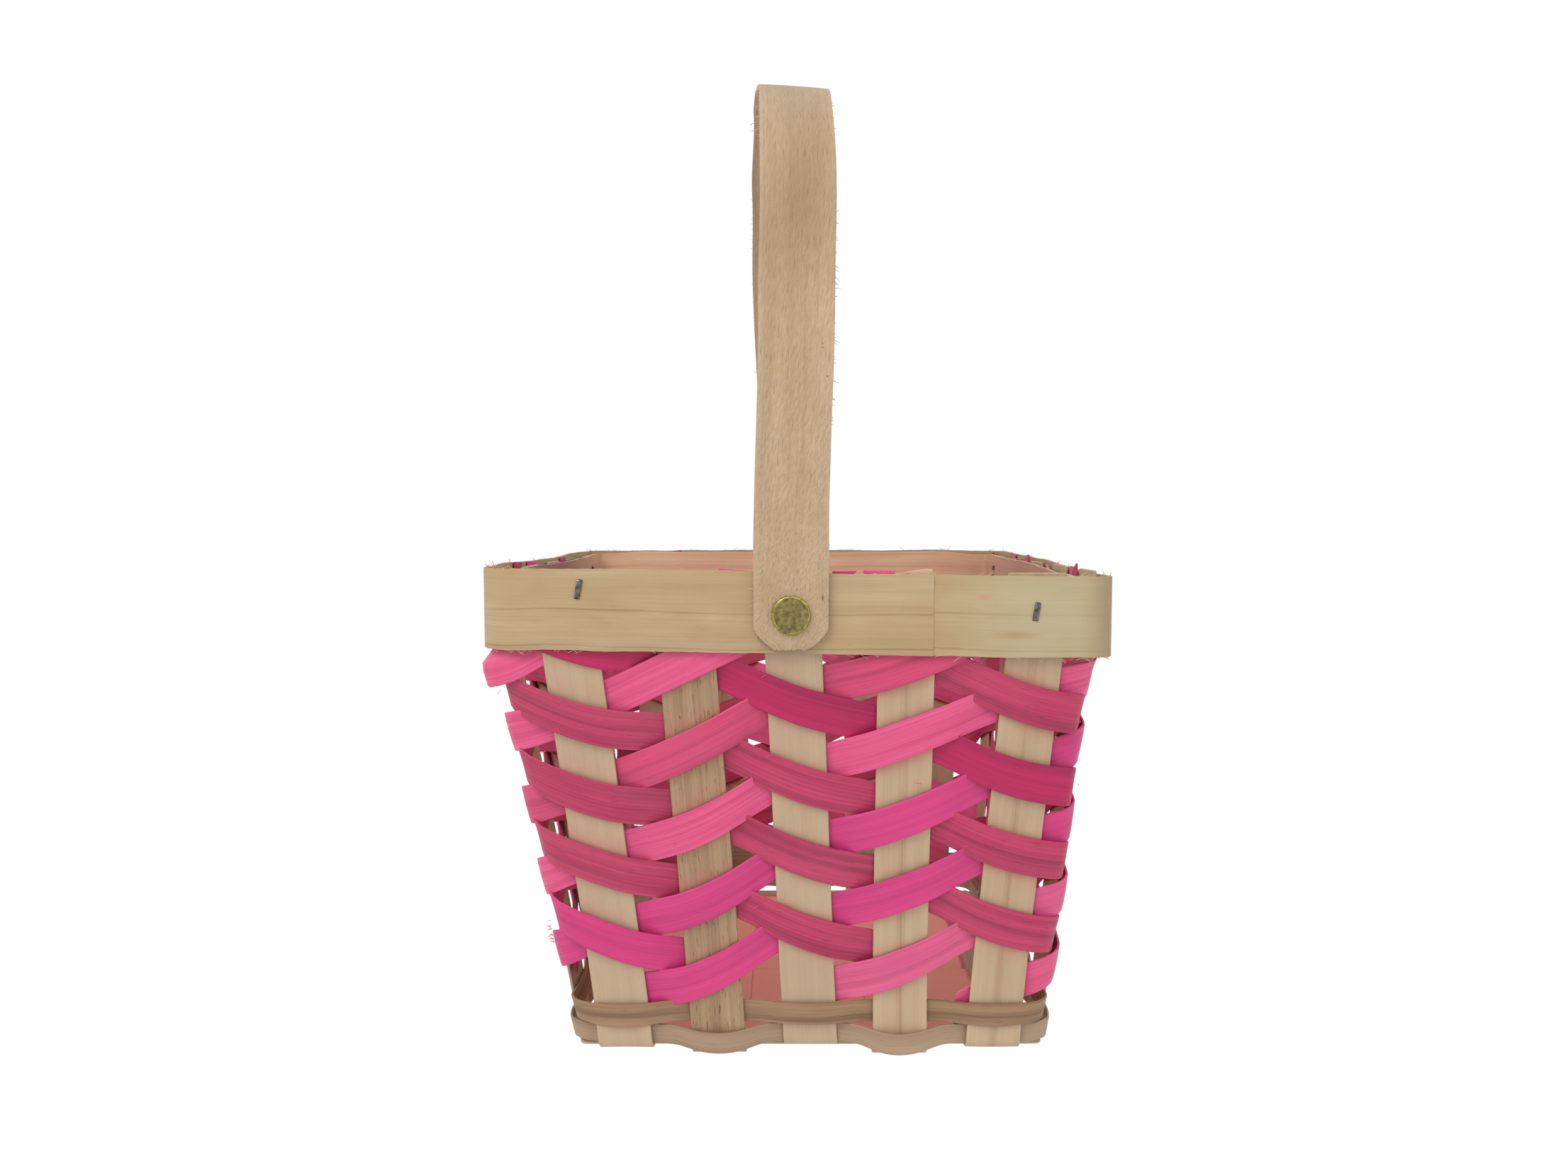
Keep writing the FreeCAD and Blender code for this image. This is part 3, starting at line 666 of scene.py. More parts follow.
def strip_place(seed, q, z, v, tall, over_even, bow):
    """A point on a woven strip; v runs up the strip's width."""
    lift, swell = 0.0, 0.0
    for strip, middle, reach, up, out_more in LOOSE:
        if strip == seed:
            near = math.exp(-((q - middle) / reach) ** 2)
            lift += up * MM * near
            swell += out_more * MM * near
    smile = SMILE * (1 - math.cos(math.pi * q) * (-1 if over_even else 1))
    z_mid = z + sag(q, z) + wander(seed, q * 0.6, 0.5 * MM) + lift + smile
    z_here = z_mid + v * tall / 2
    side = side_of(q, over_even)
    near_rim = min(max((z_here - (RIM_FOOT - 5 * MM)) / (5 * MM), 0), 1)
    stand = bow + (RIM_BOW - bow) * near_rim
    lean = LEAN * math.sin(math.pi * q) ** 4 * (1 - near_rim)
    cup = 0.18 * MM * (1 - v * v) * (1 if side > 0 else -1) * (1 - near_rim)
    out = stand * side + lean * v * tall / 2 + cup + swell * (1 - near_rim)
    return wall_spot(q, z_here, out)


def make_weaver(name, finish, q_start, q_end, height, wide, over_even, seed, node):
    """Lay one woven strip from q_start to q_end; height(q) is its middle's height."""
    pick = random.Random(seed)
    steps = int((q_end - q_start) * 14)
    climb = math.atan2(height(q_end) - height(q_start), (q_end - q_start) * 31 * MM)
    tall = wide / math.cos(climb)
    bow = BOW * pick.uniform(0.98, 1.35)
    flared = pick.uniform(-0.08, 0.08) * MM

    def place(u, v):
        q = q_start + (q_end - q_start) * u
        edge = tall + flared * 4 * (u - 0.5) + wander(seed + 3, u * 60, 0.18 * MM) * v
        return strip_place(seed, q, height(q), v, edge, over_even, bow)

    length = (q_end - q_start) * 31 * MM / math.cos(climb)
    piece = lay_strip(name, steps, 5, place, WEAVER_THICK, length, wide)
    piece.data.materials.append(finish)
    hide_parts(node)
    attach(piece, "basket")
    return piece


for number in range(10):
    first = 2 * number
    pick = random.Random(100 + number)
    finish = {0: deep_rose_dye, 6: bright_rose_dye}.get(number, rose_dye)
    make_weaver("weaver_down_%02d_strip" % (number + 1), finish,
                first - pick.uniform(0.3, 0.7), first + 9 + pick.uniform(0.18, 0.25),
                lambda q, first=first: TOP_CROSSING + DROP * (1 - (q - first)),
                ROSE_WIDE, False, 100 + number, "weaver_down_%02d" % (number + 1))
for number in range(10):
    first = 2 * number
    pick = random.Random(200 + number)
    finish = {0: hot_pink_dye, 9: hot_pink_dye, 7: dusty_pink_dye, 1: pale_pink_dye}.get(number, pink_dye)
    make_weaver("weaver_up_%02d_strip" % (number + 1), finish,
                first - (0.42 if number == 2 else pick.uniform(0.19, 0.25)),
                first + 10 + pick.uniform(0.3, 0.7),
                lambda q, first=first: TOP_CROSSING + DROP * (q - first - 9),
                PINK_WIDE, True, 200 + number, "weaver_up_%02d" % (number + 1))
print("weavers laid")


# %% [markdown]
# ## The base rings
# Two narrow undyed strips run round the foot of the walls. The upper one passes over the odd stakes
# and the lower one over the even ones, where it droops a little. A ring ends where it began, so the
# first and last points of its grid are merged.

# %% Base rings
def make_ring(name, node, height, wide, over_even, bow, droop, finish, seed):
    def place(u, v):
        q = STAKES * u + 12
        side = side_of(q, over_even)
        z = height + v * wide / 2 + wander(seed, math.cos(2 * math.pi * u) * 3, 0.3 * MM)
        z -= droop * max(side, 0) ** 2
        lean = 0.06 * math.sin(math.pi * q) ** 4
        loose = droop * max(side, 0) ** 3 * (0.7 + 0.3 * math.sin(q * 2.3 + seed))
        return wall_spot(q, z, bow * side + loose + lean * v * wide / 2)

    piece = lay_strip(name, 360, 3, place, WEAVER_THICK, 0.58, wide)
    bpy.ops.object.select_all(action="DESELECT")
    piece.select_set(True)
    bpy.context.view_layer.objects.active = piece
    bpy.ops.object.mode_set(mode="EDIT")
    bpy.ops.mesh.select_all(action="SELECT")
    bpy.ops.mesh.remove_doubles(threshold=0.00002)
    bpy.ops.object.mode_set(mode="OBJECT")
    piece.data.materials.append(finish)
    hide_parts(node)
    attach(piece, "basket")
    return piece


make_ring("base_ring_upper_strip", "base_ring_upper", 13.6 * MM, 6.9 * MM, False, 1.3 * MM,
          0.4 * MM, ring_wood, 301)
make_ring("base_ring_lower_strip", "base_ring_lower", 6.1 * MM, 6.4 * MM, True, 1.5 * MM,
          1.5 * MM, pale_ring_wood, 302)
print("rings laid")


# %% [markdown]
# ## The rim bands
# Two broad strips hold the stakes' ends between them, one outside and one inside. The way round a
# rounded square is a walk: so far along a side, so far round an arc, and on to the next side. The
# outer band laps over its own beginning at the front, to the right of the handle, and its front sits
# a little higher on the left, because it was bent on by hand.

# %% Walking round a band
BAND_TILT = 0.015
BAND_SINK = 0.8 * MM
SEAM = 38.7 * MM
LAP = 16 * MM


def square_walk(half, radius, walked):
    """The point and outward direction so far round a rounded square, rightward from the front's middle."""
    flat = half - radius
    side = 2 * flat + radius * math.pi / 2
    turn, rest = divmod((walked + flat) % (4 * side), side)
    if rest < 2 * flat:
        outward = Vector((0, -1, 0))
        point = Vector((rest - flat, -half, 0))
    else:
        angle = (rest - 2 * flat) / radius
        outward = Vector((math.sin(angle), -math.cos(angle), 0))
        point = Vector((flat, -flat, 0)) + outward * radius
    spin = Matrix.Rotation(turn * math.pi / 2, 3, "Z")
    return spin @ point, spin @ outward


def around(half, radius):
    return 8 * (half - radius) + 2 * math.pi * radius


def hang(point):
    """How much lower the bands sit at a place: the front is sunk, more so to the right; the rear is up."""
    front, rear = ease(-point.y / RIM_HALF + 0.2), ease(point.y / RIM_HALF + 0.2)
    return (BAND_TILT * point.x + BAND_SINK) * front - BAND_SINK * rear


print("outer band's way round", around(RIM_HALF, 9 * MM))


# %% [markdown]
# A band is one long strip along that walk. `tuck` says how far its first end lies behind the rest,
# `lift` how far its last end has crept up, and `dip` how much lower its top runs along the sides.

# %% The two bands
def make_band(name, node, finish, half, radius, low, high, start, end, tuck, lift, dip, seed):
    middle, tall = (low + high) / 2, high - low

    def place(u, v):
        walked = start + (end - start) * u
        point, outward = square_walk(half, radius, walked)
        gone, left = walked - start, end - walked
        out = -tuck * (1 - ease((gone - LAP / 2) / (LAP / 2 + 1.5 * MM)))
        out += wander(seed, walked * 28, 0.3 * MM)
        out += 0.02 * MM * (1 - ease(left / (12 * MM)))
        upper, lower = wander(seed + 1, walked * 60, 0.5 * MM), wander(seed + 2, walked * 70, 0.45 * MM)
        ragged = wander(seed + 3, walked * 600, 0.12 * MM) * abs(v) ** 3
        z = middle + v * tall / 2 + upper * (1 + v) / 2 + lower * (1 - v) / 2 + ragged
        z -= hang(point)
        z += lift * (1 - ease(left / (14 * MM)))
        z -= dip * ease((abs(point.x) / half - 0.72) / 0.26) * (1 + v) / 2
        return point + outward * out + Vector((0, 0, z))

    piece = lay_strip(name, 420, 10, place, BAND_THICK, end - start, tall, shift=(start, 0.0), soft=0.07)
    piece.data.materials.append(finish)
    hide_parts(node)
    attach(piece, "basket")
    return piece


OUTER_MIDDLE = RIM_HALF - BAND_THICK / 2
INNER_MIDDLE = INNER_HALF - BAND_THICK / 2
outer_round = around(OUTER_MIDDLE, 8 * MM)
inner_round = around(INNER_MIDDLE, 2.6 * MM)
make_band("rim_band_outer_strip", "rim_band_outer", rim_wood, OUTER_MIDDLE, 8 * MM,
          RIM_FOOT, RIM_TOP, SEAM - LAP, SEAM + outer_round, 0.95 * MM, 0.0, 0.0, 401)
make_band("rim_band_inner_strip", "rim_band_inner", inner_rim_wood, INNER_MIDDLE,
          2.6 * MM, inner_low.z, inner_high.z, SEAM - LAP, SEAM + inner_round, 0.95 * MM, 1.9 * MM,
          1.1 * MM, 402)
print("bands laid")


# %% [markdown]
# ## Ends that show above the rim
# Some of the dyed strips were cut a little long, so their ends stand up between the two bands. Each
# is a short piece of strip with its cut end uppermost.

# %% Ends between the bands
def rim_end(number, q, top, wide, finish, node, out=0.0):
    pick = random.Random(500 + number)
    foot = RIM_TOP - 9 * MM
    skew = pick.uniform(-0.5, 0.5) * MM

    def place(u, v):
        spot = wall_spot(q + v * wide / 2 / (33 * MM), FOLD, out)
        spot.z = foot + (RIM_TOP + top + skew * v - foot) * u
        spot.z -= hang(spot)
        return spot

    name = "rim_end_%02d" % number
    piece = lay_strip(name, 5, 5, place, WEAVER_THICK * 0.9, foot, wide)
    piece.data.materials.append(finish)
    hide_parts(node)
    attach(piece, "basket")


for number, (q, top, wide, finish, slot, node, out) in enumerate((
        (2.45, 0.5, 7, hot_pink_dye, "pink_strip", "weaver_up_07", 0.3),
        (2.75, 0.9, 9, pink_dye, "pink_strip", "weaver_up_07", 0.7),
        (1.45, 0.5, 9, pink_dye, "pink_strip", "weaver_up_06", 0.5),
        (5.6, 0.9, 5, pale_pink_dye, "pink_strip", "weaver_up_08", 0.6),
        (7.6, 0.5, 5, pink_dye, "pink_strip", "weaver_up_08", 0.8),
        (8.3, 0.3, 7, pale_pink_dye, "pink_strip", "weaver_up_09", 0.4),
        (16.4, -0.2, 7, rose_dye, "rose_strip", "weaver_down_09", 0.4),
        (17.9, 0.0, 12, hot_pink_dye, "pink_strip", "weaver_up_04", 0.8),
        (18.5, 0.2, 9, deep_rose_dye, "rose_strip", "weaver_down_10", 0.5),
        (19.3, -0.2, 5, pale_pink_dye, "pink_strip", "weaver_up_05", 0.8),
        (12.5, -0.4, 7, pink_dye, "pink_strip", "weaver_up_02", 0.7),
        (13.6, -0.2, 5, rose_dye, "rose_strip", "weaver_down_07", 0.4)), start=1):
    rim_end(number, q, top * MM, wide * MM, finish, node, out * MM)
print("rim ends stand up")


# %% [markdown]
# ## The handle
# The handle is one thick strap. Seen from the side it goes straight up past the rim, leans out a
# trifle and bends over the top in ever tighter arcs. The same list of arcs as in the frame's own
# strap gives its line; the loop below turns it into points a little over a millimetre apart.

# %% The strap's line
strap_low, strap_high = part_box("handle_strap")
STRAP_FOOT = strap_low.z
STRAP_WIDE = strap_high.x - strap_low.x
STRAP_THICK = 1.6 * MM
STRAP_REACH = RIM_HALF + 0.3 * MM + STRAP_THICK / 2
STRAP_BENDS = ((500 * MM, 0, -3), (343 * MM, -3, 10), (58 * MM, 10, 62))
STRAP_CENTRES = ((0, -2), (0.06, -2), (0.2, -0.5), (0.27, 0), (0.38, -0.8), (0.5, -4), (0.62, -6.2),
                 (0.7, -6.9), (0.85, -4.6), (0.94, -2), (1, -2))


def half_strap_line():
    """From the front foot to the crown, as points seen from the side."""
    y, z = STRAP_REACH, STRAP_FOOT
    points = [(y, z + (150 * MM - z) * k / 20) for k in range(20)]
    z = 150 * MM
    for radius, begin, finish in STRAP_BENDS + ((None, 62, 90),):
        if radius is None:                      # the crown's own arc, centred on the basket's middle
            radius = y / math.cos(math.radians(begin))
        turn = -radius if finish < begin else radius
        start_y, start_z = y, z
        count = int(radius * abs(math.radians(finish - begin)) / (1.3 * MM))
        for k in range(1, count + 1):
            a, b = math.radians(begin), math.radians(begin + (finish - begin) * k / count)
            y, z = start_y + turn * (math.cos(b) - math.cos(a)), start_z + turn * (math.sin(b) - math.sin(a))
            points.append((y, z))
    return points


half_line = half_strap_line()
strap_points = [Vector((0, -y, z)) for y, z in half_line] + [Vector((0, y, z)) for y, z in half_line[-2::-1]]
strap_walk = [0.0]
for near, far in zip(strap_points, strap_points[1:]):
    strap_walk.append(strap_walk[-1] + (far - near).length)
STRAP_LONG = strap_walk[-1]
print("strap length", STRAP_LONG, "top", max(p.z for p in strap_points))


# %% [markdown]
# The strap is not quite true: its rear leg leans to the left, so its crown does too. `strap_frame`
# gives a place on the strap with the strap's own directions there, and everything on the handle
# uses it. The steps crowd together towards the ends, where the corners are cut off.

# %% The strap
def strap_centre(share):
    for (s0, x0), (s1, x1) in zip(STRAP_CENTRES, STRAP_CENTRES[1:]):
        if share <= s1:
            return (x0 + (x1 - x0) * ease((share - s0) / (s1 - s0))) * MM
    return STRAP_CENTRES[-1][1] * MM


def strap_frame(walked):
    """The middle of the strap so far along it, and its outward direction."""
    walked = min(max(walked, 0), STRAP_LONG)
    k = min(bisect.bisect_right(strap_walk, walked), len(strap_walk) - 1)
    near, far = strap_points[k - 1], strap_points[k]
    share = (walked - strap_walk[k - 1]) / (strap_walk[k] - strap_walk[k - 1])
    before, after = strap_points[max(k - 3, 0)], strap_points[min(k + 2, len(strap_points) - 1)]
    along = (after - before).normalized()
    spot = near.lerp(far, share)
    spot.x = strap_centre(walked / STRAP_LONG)
    return spot, along, Vector((0, -along.z, along.y))


def strap_half(walked):
    """Half the strap's width: narrower at the clipped ends, a trifle wider over the top."""
    end = min(walked, STRAP_LONG - walked)
    half = STRAP_WIDE / 2 * (1 + 0.02 * ease(end / (150 * MM)))
    clip = 5.8 * MM * max(1 - end / (7.0 * MM), 0) ** 1.75
    return half - clip


def strap_place(u, v):
    walked = STRAP_LONG * (u - 0.6 * math.sin(2 * math.pi * u) / (2 * math.pi))
    spot, along, outward = strap_frame(walked)
    end = min(walked, STRAP_LONG - walked)
    ragged = max(1 - end / (1.2 * MM), 0) * wander(7, v * 9 + u * 50, 0.5 * MM)
    rough_edge = wander(8, walked * 45, 0.3 * MM) * (1 if v > 0 else 0.7) * ease(end / (6 * MM))
    half = strap_half(walked) + rough_edge
    dent = wander(9, walked * 30 + v * 0.8, 0.22 * MM) * ease(end / (30 * MM))
    roll = Vector((0, 0, -0.7 * MM * v * math.exp(-(((walked / STRAP_LONG - 0.42) / 0.12) ** 2))))
    return spot + Vector((v * half, 0, 0)) + along * (ragged if u < 0.5 else -ragged) + outward * dent + roll


strap = lay_strip("handle_strap_bent", 300, 22, strap_place, STRAP_THICK, STRAP_LONG, STRAP_WIDE,
                  shift=(0.0001, 0.0), soft=0.3)
strap.data.materials.append(handle_wood)
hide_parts("handle_strap")
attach(strap, "handle")
print("strap points", len(strap.data.vertices))


# %% [markdown]
# ## Loose fibres
# Cut chip wood frays. A fibre is a very narrow strip with a curl; the list of roots says where the
# edges are roughest. All the fibres of one kind are joined into one piece.

# %% Fibres
def lay_fibres(name, blades, finish, node, body):
    """One piece of many slivers; each blade is (root, aim, droop, length, width)."""
    rows = 2 * len(blades) - 1
    bpy.ops.object.select_all(action="DESELECT")
    bpy.ops.mesh.primitive_grid_add(x_subdivisions=4, y_subdivisions=rows, size=2, calc_uvs=True)
    piece = bpy.context.object
    piece.name = name
    mesh = piece.data
    mesh.name = name
    grain = mesh.uv_layers.active.data
    edges = [int(round((v.co.y + 1) / 2 * rows)) for v in mesh.vertices]
    for vertex, edge in zip(mesh.vertices, edges):
        u = (vertex.co.x + 1) / 2
        root, aim, droop, length, wide = blades[edge // 2]
        side = aim.cross(droop)
        side = side.normalized() if side.length > 1e-6 else Vector((1, 0, 0))
        taper = wide / 2 * (1 - 0.75 * u) * (1 if edge % 2 else -1)
        vertex.co = root + aim * length * u + droop * length * 0.45 * u * u + side * taper
    for loop in mesh.loops:
        grain[loop.index].uv = (edges[loop.vertex_index] * 0.013, mesh.vertices[loop.vertex_index].co.z)
    bpy.ops.object.mode_set(mode="EDIT")
    bpy.ops.mesh.select_mode(type="FACE")
    bpy.ops.mesh.select_all(action="DESELECT")
    bpy.ops.object.mode_set(mode="OBJECT")
    for face in mesh.polygons:
        face.select = len({edges[k] // 2 for k in face.vertices}) > 1
    bpy.ops.object.mode_set(mode="EDIT")
    bpy.ops.mesh.delete(type="FACE")
    bpy.ops.object.mode_set(mode="OBJECT")
    solid = piece.modifiers.new("thickness", "SOLIDIFY")
    solid.thickness = 0.12 * MM
    solid.offset = 0
    bpy.ops.object.modifier_apply(modifier=solid.name)
    piece.data.materials.append(finish)
    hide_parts(node)
    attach(piece, body)
    print(name, len(blades), "slivers")
    return piece


def strap_fibres():
    pick = random.Random(61)
    blades = []
    stretches = ((-1, 0.30, 0.385, 34), (-1, 0.62, 0.74, 22), (1, 0.13, 0.26, 34), (1, 0.31, 0.36, 4),
                 (-1, 0.02, 0.045, 3), (1, 0.66, 0.9, 10), (-1, 0.78, 0.95, 8))
    for side, begin, finish, count in stretches:
        for k in range(count):
            walked = STRAP_LONG * pick.uniform(begin, finish)
            spot, along, outward = strap_frame(walked)
            root = spot + Vector((side * (strap_half(walked) - 0.3 * MM), 0, 0))
            root += outward * pick.uniform(-0.6, 0.5) * MM
            aim = (Vector((side, 0, 0)) + along * pick.uniform(-0.9, 0.5) + outward * pick.uniform(-0.3, 0.3))
            droop = (along * pick.uniform(-1, 0.4) + outward * pick.uniform(-0.4, 0.4))
            long = pick.choice((0.7, 0.9, 1.1, 1.5, 2.4)) * MM * (1.3 if begin == 0.30 else 0.8)
            blades.append((root, aim.normalized(), droop, long, pick.uniform(0.1, 0.26) * MM))
    for shift, low, wide, long in ((-9.6, 6.6, 0.9, 3.6), (-8.7, 5.2, 0.8, 3.9), (-7.6, 4.0, 1.0, 3.3),
                                   (-6.6, 2.6, 0.9, 1.9), (9.2, 4.9, 0.5, 1.8)):
        spot, along, outward = strap_frame(low * MM)
        root = spot + Vector((shift * MM, 0, 0)) - outward * 0.45 * MM
        blades.append((root, -along, Vector((0.12, 0, 0.01)) * shift / abs(shift), long * MM, wide * MM))
    return blades


lay_fibres("handle_fibres", strap_fibres(), fibre_wood, "handle_strap", "handle")


def rim_fibres():
    pick = random.Random(62)
    blades = []
    for begin, finish, height, count in ((60, 100, -1, 26), (-100, -58, -1, 14), (0, 60, -1, 8),
                                         (-90, -30, -1, 8), (-105, -72, 1, 18), (70, 105, 1, 16),
                                         (-70, 70, 1, 10), (110, 640, 1, 60), (110, 640, -1, 60)):
        for k in range(count):
            walked = pick.uniform(begin, finish) * MM
            point, outward = square_walk(OUTER_MIDDLE, 8 * MM, walked)
            z = RIM_TOP if height > 0 else RIM_FOOT
            root = point + Vector((0, 0, z - hang(point)))
            root += outward * pick.uniform(-0.4, 0.4) * MM - Vector((0, 0, height * 0.3 * MM))
            along = outward.cross(Vector((0, 0, 1)))
            aim = along * pick.choice((-1, 1)) + Vector((0, 0, height)) * pick.uniform(0.1, 0.7)
            aim = aim.normalized()
            droop = Vector((0, 0, height)) * pick.uniform(-0.3, 0.5) + outward * pick.uniform(-0.2, 0.4)
            blades.append((root, aim, droop, pick.choice((1.0, 1.4, 2.0, 3.2)) * MM,
                           pick.uniform(0.1, 0.3) * MM))
    return blades


lay_fibres("rim_fibres", rim_fibres(), fibre_wood, "rim_band_outer", "basket")


def weaver_fibres():
    """Slivers of dyed wood: a tuft at the lower left corner and single ones all over the walls.

    The roots lie at a fixed distance from the wall and not on a strip's edge, so most of the
    slivers don't touch a strip.
    """
    pick = random.Random(63)
    blades = []
    places = [(19.48, 38.5, 2.6, 14)]
    places += [(pick.uniform(0, 20), pick.uniform(30, 120), 1.9, 1) for _ in range(46)]
    for q, height, out, count in places:
        for k in range(count):
            z = (height + pick.uniform(-2.8, 2.8)) * MM
            root = wall_spot(q, z, out * MM)
            outward = (wall_spot(q, z, 4 * MM) - root).normalized()
            along = (wall_spot(q - 0.05, z, out * MM) - root).normalized()
            aim = along + outward * pick.uniform(0.1, 0.7) + Vector((0, 0, pick.uniform(-0.6, 0.6)))
            aim = aim.normalized()
            droop = Vector((0, 0, pick.uniform(-0.7, 0.7))) + outward * 0.2
            blades.append((root - aim * 0.3 * MM, aim, droop, pick.uniform(0.8, 2.6) * MM,
                           pick.uniform(0.1, 0.3) * MM))
    return blades


lay_fibres("weaver_fibres", weaver_fibres(), pale_pink_dye, "weaver_up_10", "basket")


# %% [markdown]
# ## Rivets, washers and staples
# The rivets are turned brass, so they start as cylinders with a rolled edge. Their mottled face is
# old lacquer. The staples are flat steel wire, pressed through the rim and folded over inside.

# %% Metal finishes
def metal(name, shade, deep, rough, spots, relief_depth):
    """Worn metal: two shades of it in blotches, rougher where it is dull."""
    material = bpy.data.materials.new(name)
    material.use_nodes = True
    tree = material.node_tree
    shader = tree.nodes["Principled BSDF"]
    where = tree.nodes.new("ShaderNodeTexCoord").outputs["Object"]
    blotch = tree.nodes.new("ShaderNodeTexNoise")
    blotch.inputs["Scale"].default_value = spots
    blotch.inputs["Detail"].default_value = 4
    blotch.inputs["Roughness"].default_value = 0.62
    tree.links.new(where, blotch.inputs["Vector"])
    worn = to_range(tree, blotch.outputs["Fac"], 0.36, 0.64)
    tree.links.new(mix_colour(tree, worn, deep, shade), shader.inputs["Base Color"])
    tree.links.new(arithmetic(tree, "SUBTRACT", rough + 0.1, arithmetic(tree, "MULTIPLY", worn, 0.2)),
                   shader.inputs["Roughness"])
    shader.inputs["Metallic"].default_value = 1.0
    relief = tree.nodes.new("ShaderNodeBump")
    relief.inputs["Strength"].default_value = 0.6
    relief.inputs["Distance"].default_value = relief_depth
    tree.links.new(worn, relief.inputs["Height"])
    tree.links.new(relief.outputs[0], shader.inputs["Normal"])
    return material


brass = metal("old_brass", (0.30, 0.25, 0.10), (0.13, 0.105, 0.04), 0.42, 700, 0.05 * MM)
bright_brass = metal("rolled_brass_edge", (0.56, 0.43, 0.10), (0.20, 0.14, 0.03), 0.2, 400, 0.01 * MM)
steel = metal("staple_steel", (0.22, 0.20, 0.17), (0.06, 0.055, 0.05), 0.4, 900, 0.02 * MM)
print("metals ready")


# %% [markdown]
# A rivet is a stack of short cylinders on the handle's axis, and a washer is a flat ring that keeps
# its inner end from pulling through the wood.

# %% Rivets
def disc(name, facing, radius, near, far, edge, finish, segments=64):
    """A short cylinder on the rivet's axis, from `near` to `far` out from the middle, edges rolled."""
    bpy.ops.object.select_all(action="DESELECT")
    place = (PIVOT.x, facing * (near + far) / 2, PIVOT.z)
    bpy.ops.mesh.primitive_cylinder_add(vertices=segments, radius=radius, depth=far - near, location=place,
                                        rotation=(math.pi / 2, 0, 0))
    piece = bpy.context.object
    piece.name = name
    bpy.ops.object.transform_apply(location=True, rotation=True, scale=True)
    if edge:
        roll = piece.modifiers.new("roll", "BEVEL")
        roll.width = edge
        roll.segments = 4
        roll.limit_method = "ANGLE"
        roll.angle_limit = math.radians(60)
        bpy.ops.object.modifier_apply(modifier=roll.name)
    piece.data.materials.append(finish)
    bpy.ops.object.shade_smooth_by_angle(angle=math.radians(35))
    return piece


def make_rivet(name, node, facing):
    cap_under = STRAP_REACH + STRAP_THICK / 2 + 0.3 * MM
    inside = INNER_HALF - BAND_THICK
    rim = disc(name + "_edge", facing, 5.5 * MM, cap_under, cap_under + 0.9 * MM, 0.42 * MM, bright_brass)
    face = disc(name + "_face", facing, 4.9 * MM, cap_under + 0.7 * MM, cap_under + 0.96 * MM,
                0.09 * MM, brass)
    shank = disc(name + "_shank", facing, 1.85 * MM, inside - 1 * MM, cap_under + 0.1 * MM, 0, brass, 24)
    tail = disc(name + "_tail", facing, 3.0 * MM, inside - 1.55 * MM, inside - 0.8 * MM, 0.3 * MM,
                bright_brass, 32)
    bpy.ops.object.select_all(action="DESELECT")
    for part in (rim, face, shank, tail):
        part.select_set(True)
    bpy.context.view_layer.objects.active = rim
    bpy.ops.object.join()
    rim.name = name
    rim.data.name = name
    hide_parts(node)
    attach(rim, "basket")
    return rim


def make_washer(name, node, facing):
    out = INNER_HALF - BAND_THICK - 0.4 * MM

    def place(u, v):
        angle = 2 * math.pi * u
        reach = (3.25 + 1.25 * v) * MM
        return Vector((PIVOT.x + reach * math.sin(angle), facing * out, PIVOT.z + reach * math.cos(angle)))

    piece = lay_strip(name, 48, 2, place, 0.6 * MM, 20 * MM, 2.5 * MM)
    piece.data.materials.append(brass)
    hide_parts(node)
    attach(piece, "basket")
    return piece


for side, facing in (("front", -1), ("rear", 1)):
    make_rivet("rivet_%s_brass" % side, "rivet_" + side, facing)
    make_washer("washer_%s_brass" % side, "washer_" + side, facing)
print("rivets set at", PIVOT)


# %% [markdown]
# A staple is laid like any other strip: along one folded end, out through the rim, up its crown, and
# back in again. The front ones are where they were shot in by hand, so no two sit alike. The legs of
# the rear pair stop inside the rim.

# %% Staples
def joined(name, parts, finish, node, body):
    bpy.ops.object.select_all(action="DESELECT")
    for part in parts:
        part.select_set(True)
    bpy.context.view_layer.objects.active = parts[0]
    bpy.ops.object.join()
    piece = bpy.context.object
    piece.name = name
    piece.data.name = name
    piece.data.materials.clear()
    piece.data.materials.append(finish)
    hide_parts(node)
    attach(piece, body)
    return piece


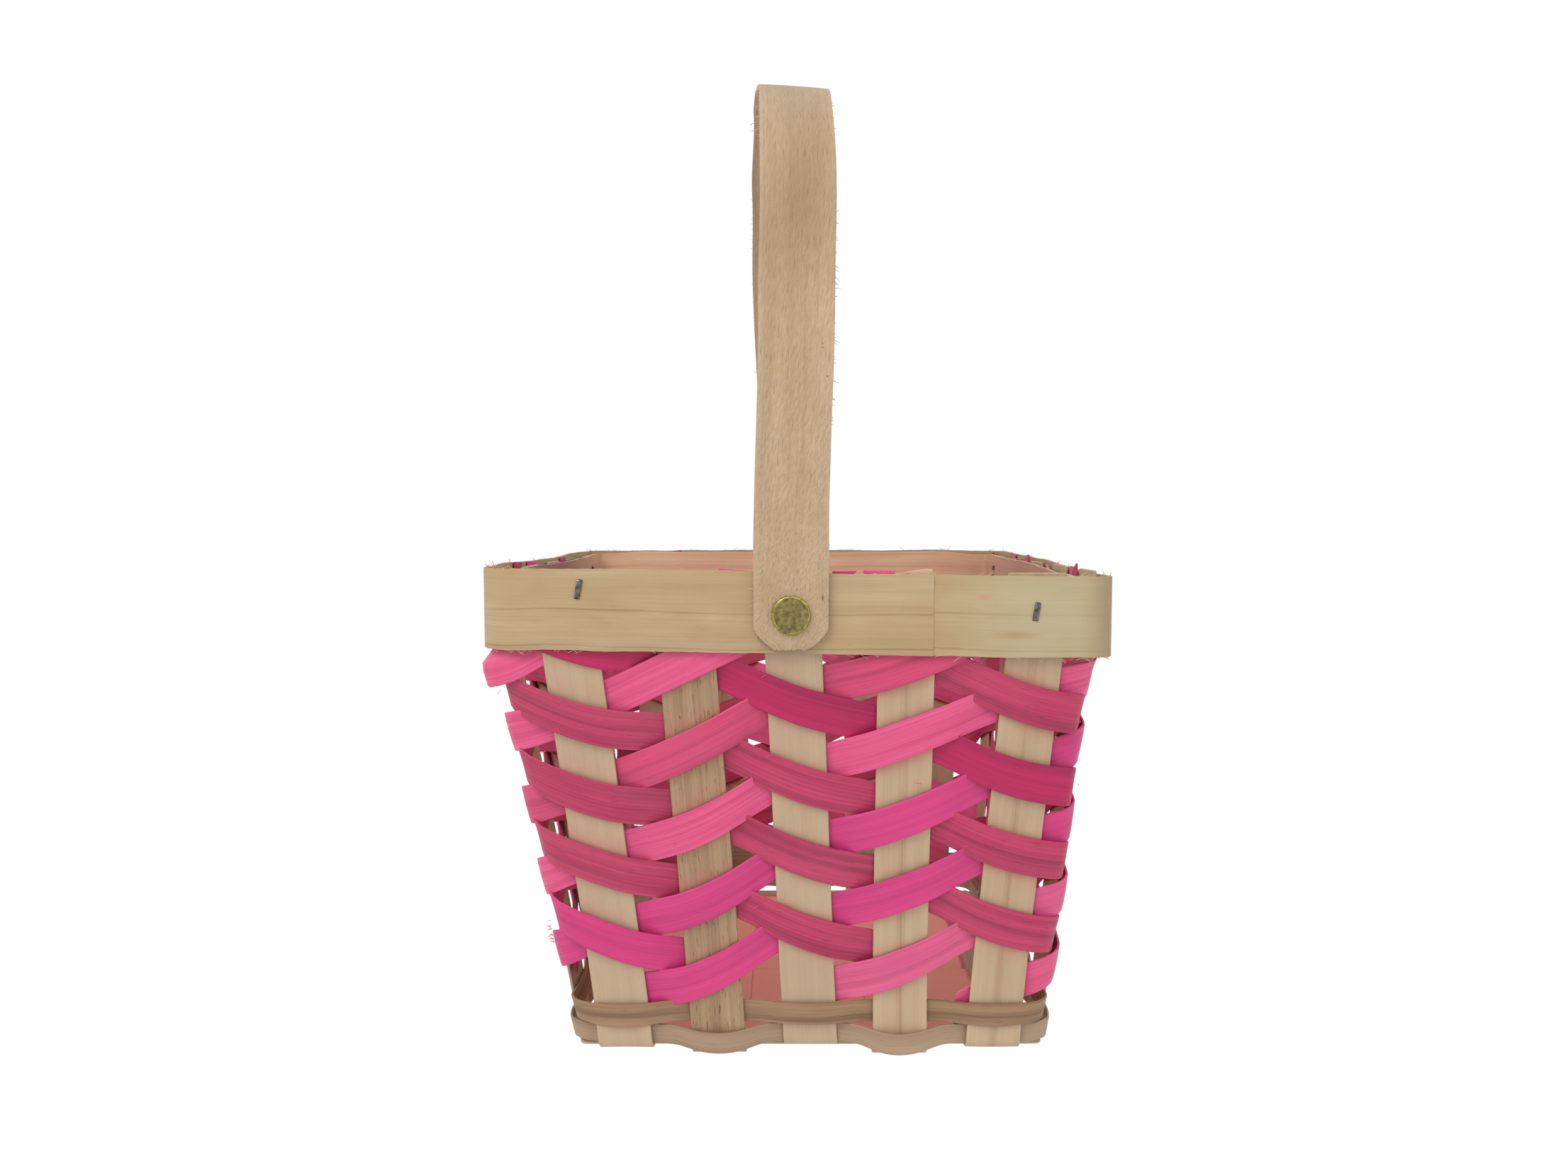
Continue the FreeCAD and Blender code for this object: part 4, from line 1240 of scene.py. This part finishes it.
def make_staple(number, wall, along, height, tilt, long):
    depth = RIM_HALF - INNER_HALF + (0 if wall == 2 else BAND_THICK + 0.9 * MM)
    half = long / 2
    corner = 0.35 * MM
    route = [(-half + long / 3, -depth), (-half + corner, -depth), (-half, -depth + corner), (-half, -corner),
             (-half + corner * 0.3, -corner * 0.3), (-half + corner, 0.0), (0.0, 0.06 * MM),
             (half - corner, 0.0), (half - corner * 0.3, -corner * 0.3),
             (half, -corner), (half, -depth + corner),
             (half - corner, -depth), (half - long / 3, -depth)]
    lean = math.radians(tilt)

    def place(u, v):
        a, out = route[min(int(round(u * 12)), 12)]
        side = a * math.cos(lean) - v * 0.8 * MM * math.sin(lean)
        up = a * math.sin(lean) + v * 0.8 * MM * math.cos(lean)
        reach = RIM_HALF + 0.3 * MM + out
        x, y = ((1, 0), (0, 1), (-1, 0), (0, -1))[wall]
        return Vector((x * (along + side) + y * reach, y * (along + side) - x * reach, height + up))

    return lay_strip("staple_%d" % number, 12, 2, place, 0.5 * MM, 4 * long, 1.6 * MM, soft=0.3)


staples = [make_staple(1, 0, -62.5 * MM, 144.4 * MM, 80, 5.4 * MM),
           make_staple(2, 0, 67.9 * MM, 138.0 * MM, 81, 5.0 * MM)]
for wall in (1, 2, 3):
    for side in (-1, 1):
        staples.append(make_staple(len(staples) + 1, wall, side * 67 * MM, 142 * MM,
                                   80 + 4 * side * wall, 5.4 * MM))
joined("rim_staples_wire", staples, steel, "rim_staples", "basket")
print("staples", len(staples))

# %% [markdown]
# ## Light and camera
# The basket hangs in plain white light, brightest from the upper left, as on a light table. With no
# floor there is no shadow to hide its lower edge.

# %% Light and camera
scene = bpy.context.scene
scene.view_settings.view_transform = "Standard"
world = bpy.data.worlds.new("studio")
scene.world = world
world.use_nodes = True
world.node_tree.nodes["Background"].inputs["Color"].default_value = (1, 1, 1, 1)
world.node_tree.nodes["Background"].inputs["Strength"].default_value = 1.0


def soft_light(name, place, size, power):
    lamp = bpy.data.lights.new(name, "AREA")
    lamp.size = size
    lamp.energy = power
    holder = bpy.data.objects.new(name, lamp)
    scene.collection.objects.link(holder)
    holder.location = place
    holder.rotation_euler = (Vector((0, 0, 0.12)) - Vector(place)).to_track_quat("-Z", "Y").to_euler()


soft_light("key", (-0.5, -0.7, 0.95), 0.6, 6)
soft_light("fill", (0.8, -0.5, 0.5), 0.8, 1)

camera_data = bpy.data.cameras.new("camera")
camera_data.sensor_width = 36
camera_data.lens = 25
camera = bpy.data.objects.new("camera", camera_data)
scene.collection.objects.link(camera)
camera.location = (-0.004, -0.4005, 0.1634)
camera.rotation_euler = (math.radians(90 - 3.45), 0, 0)
scene.camera = camera
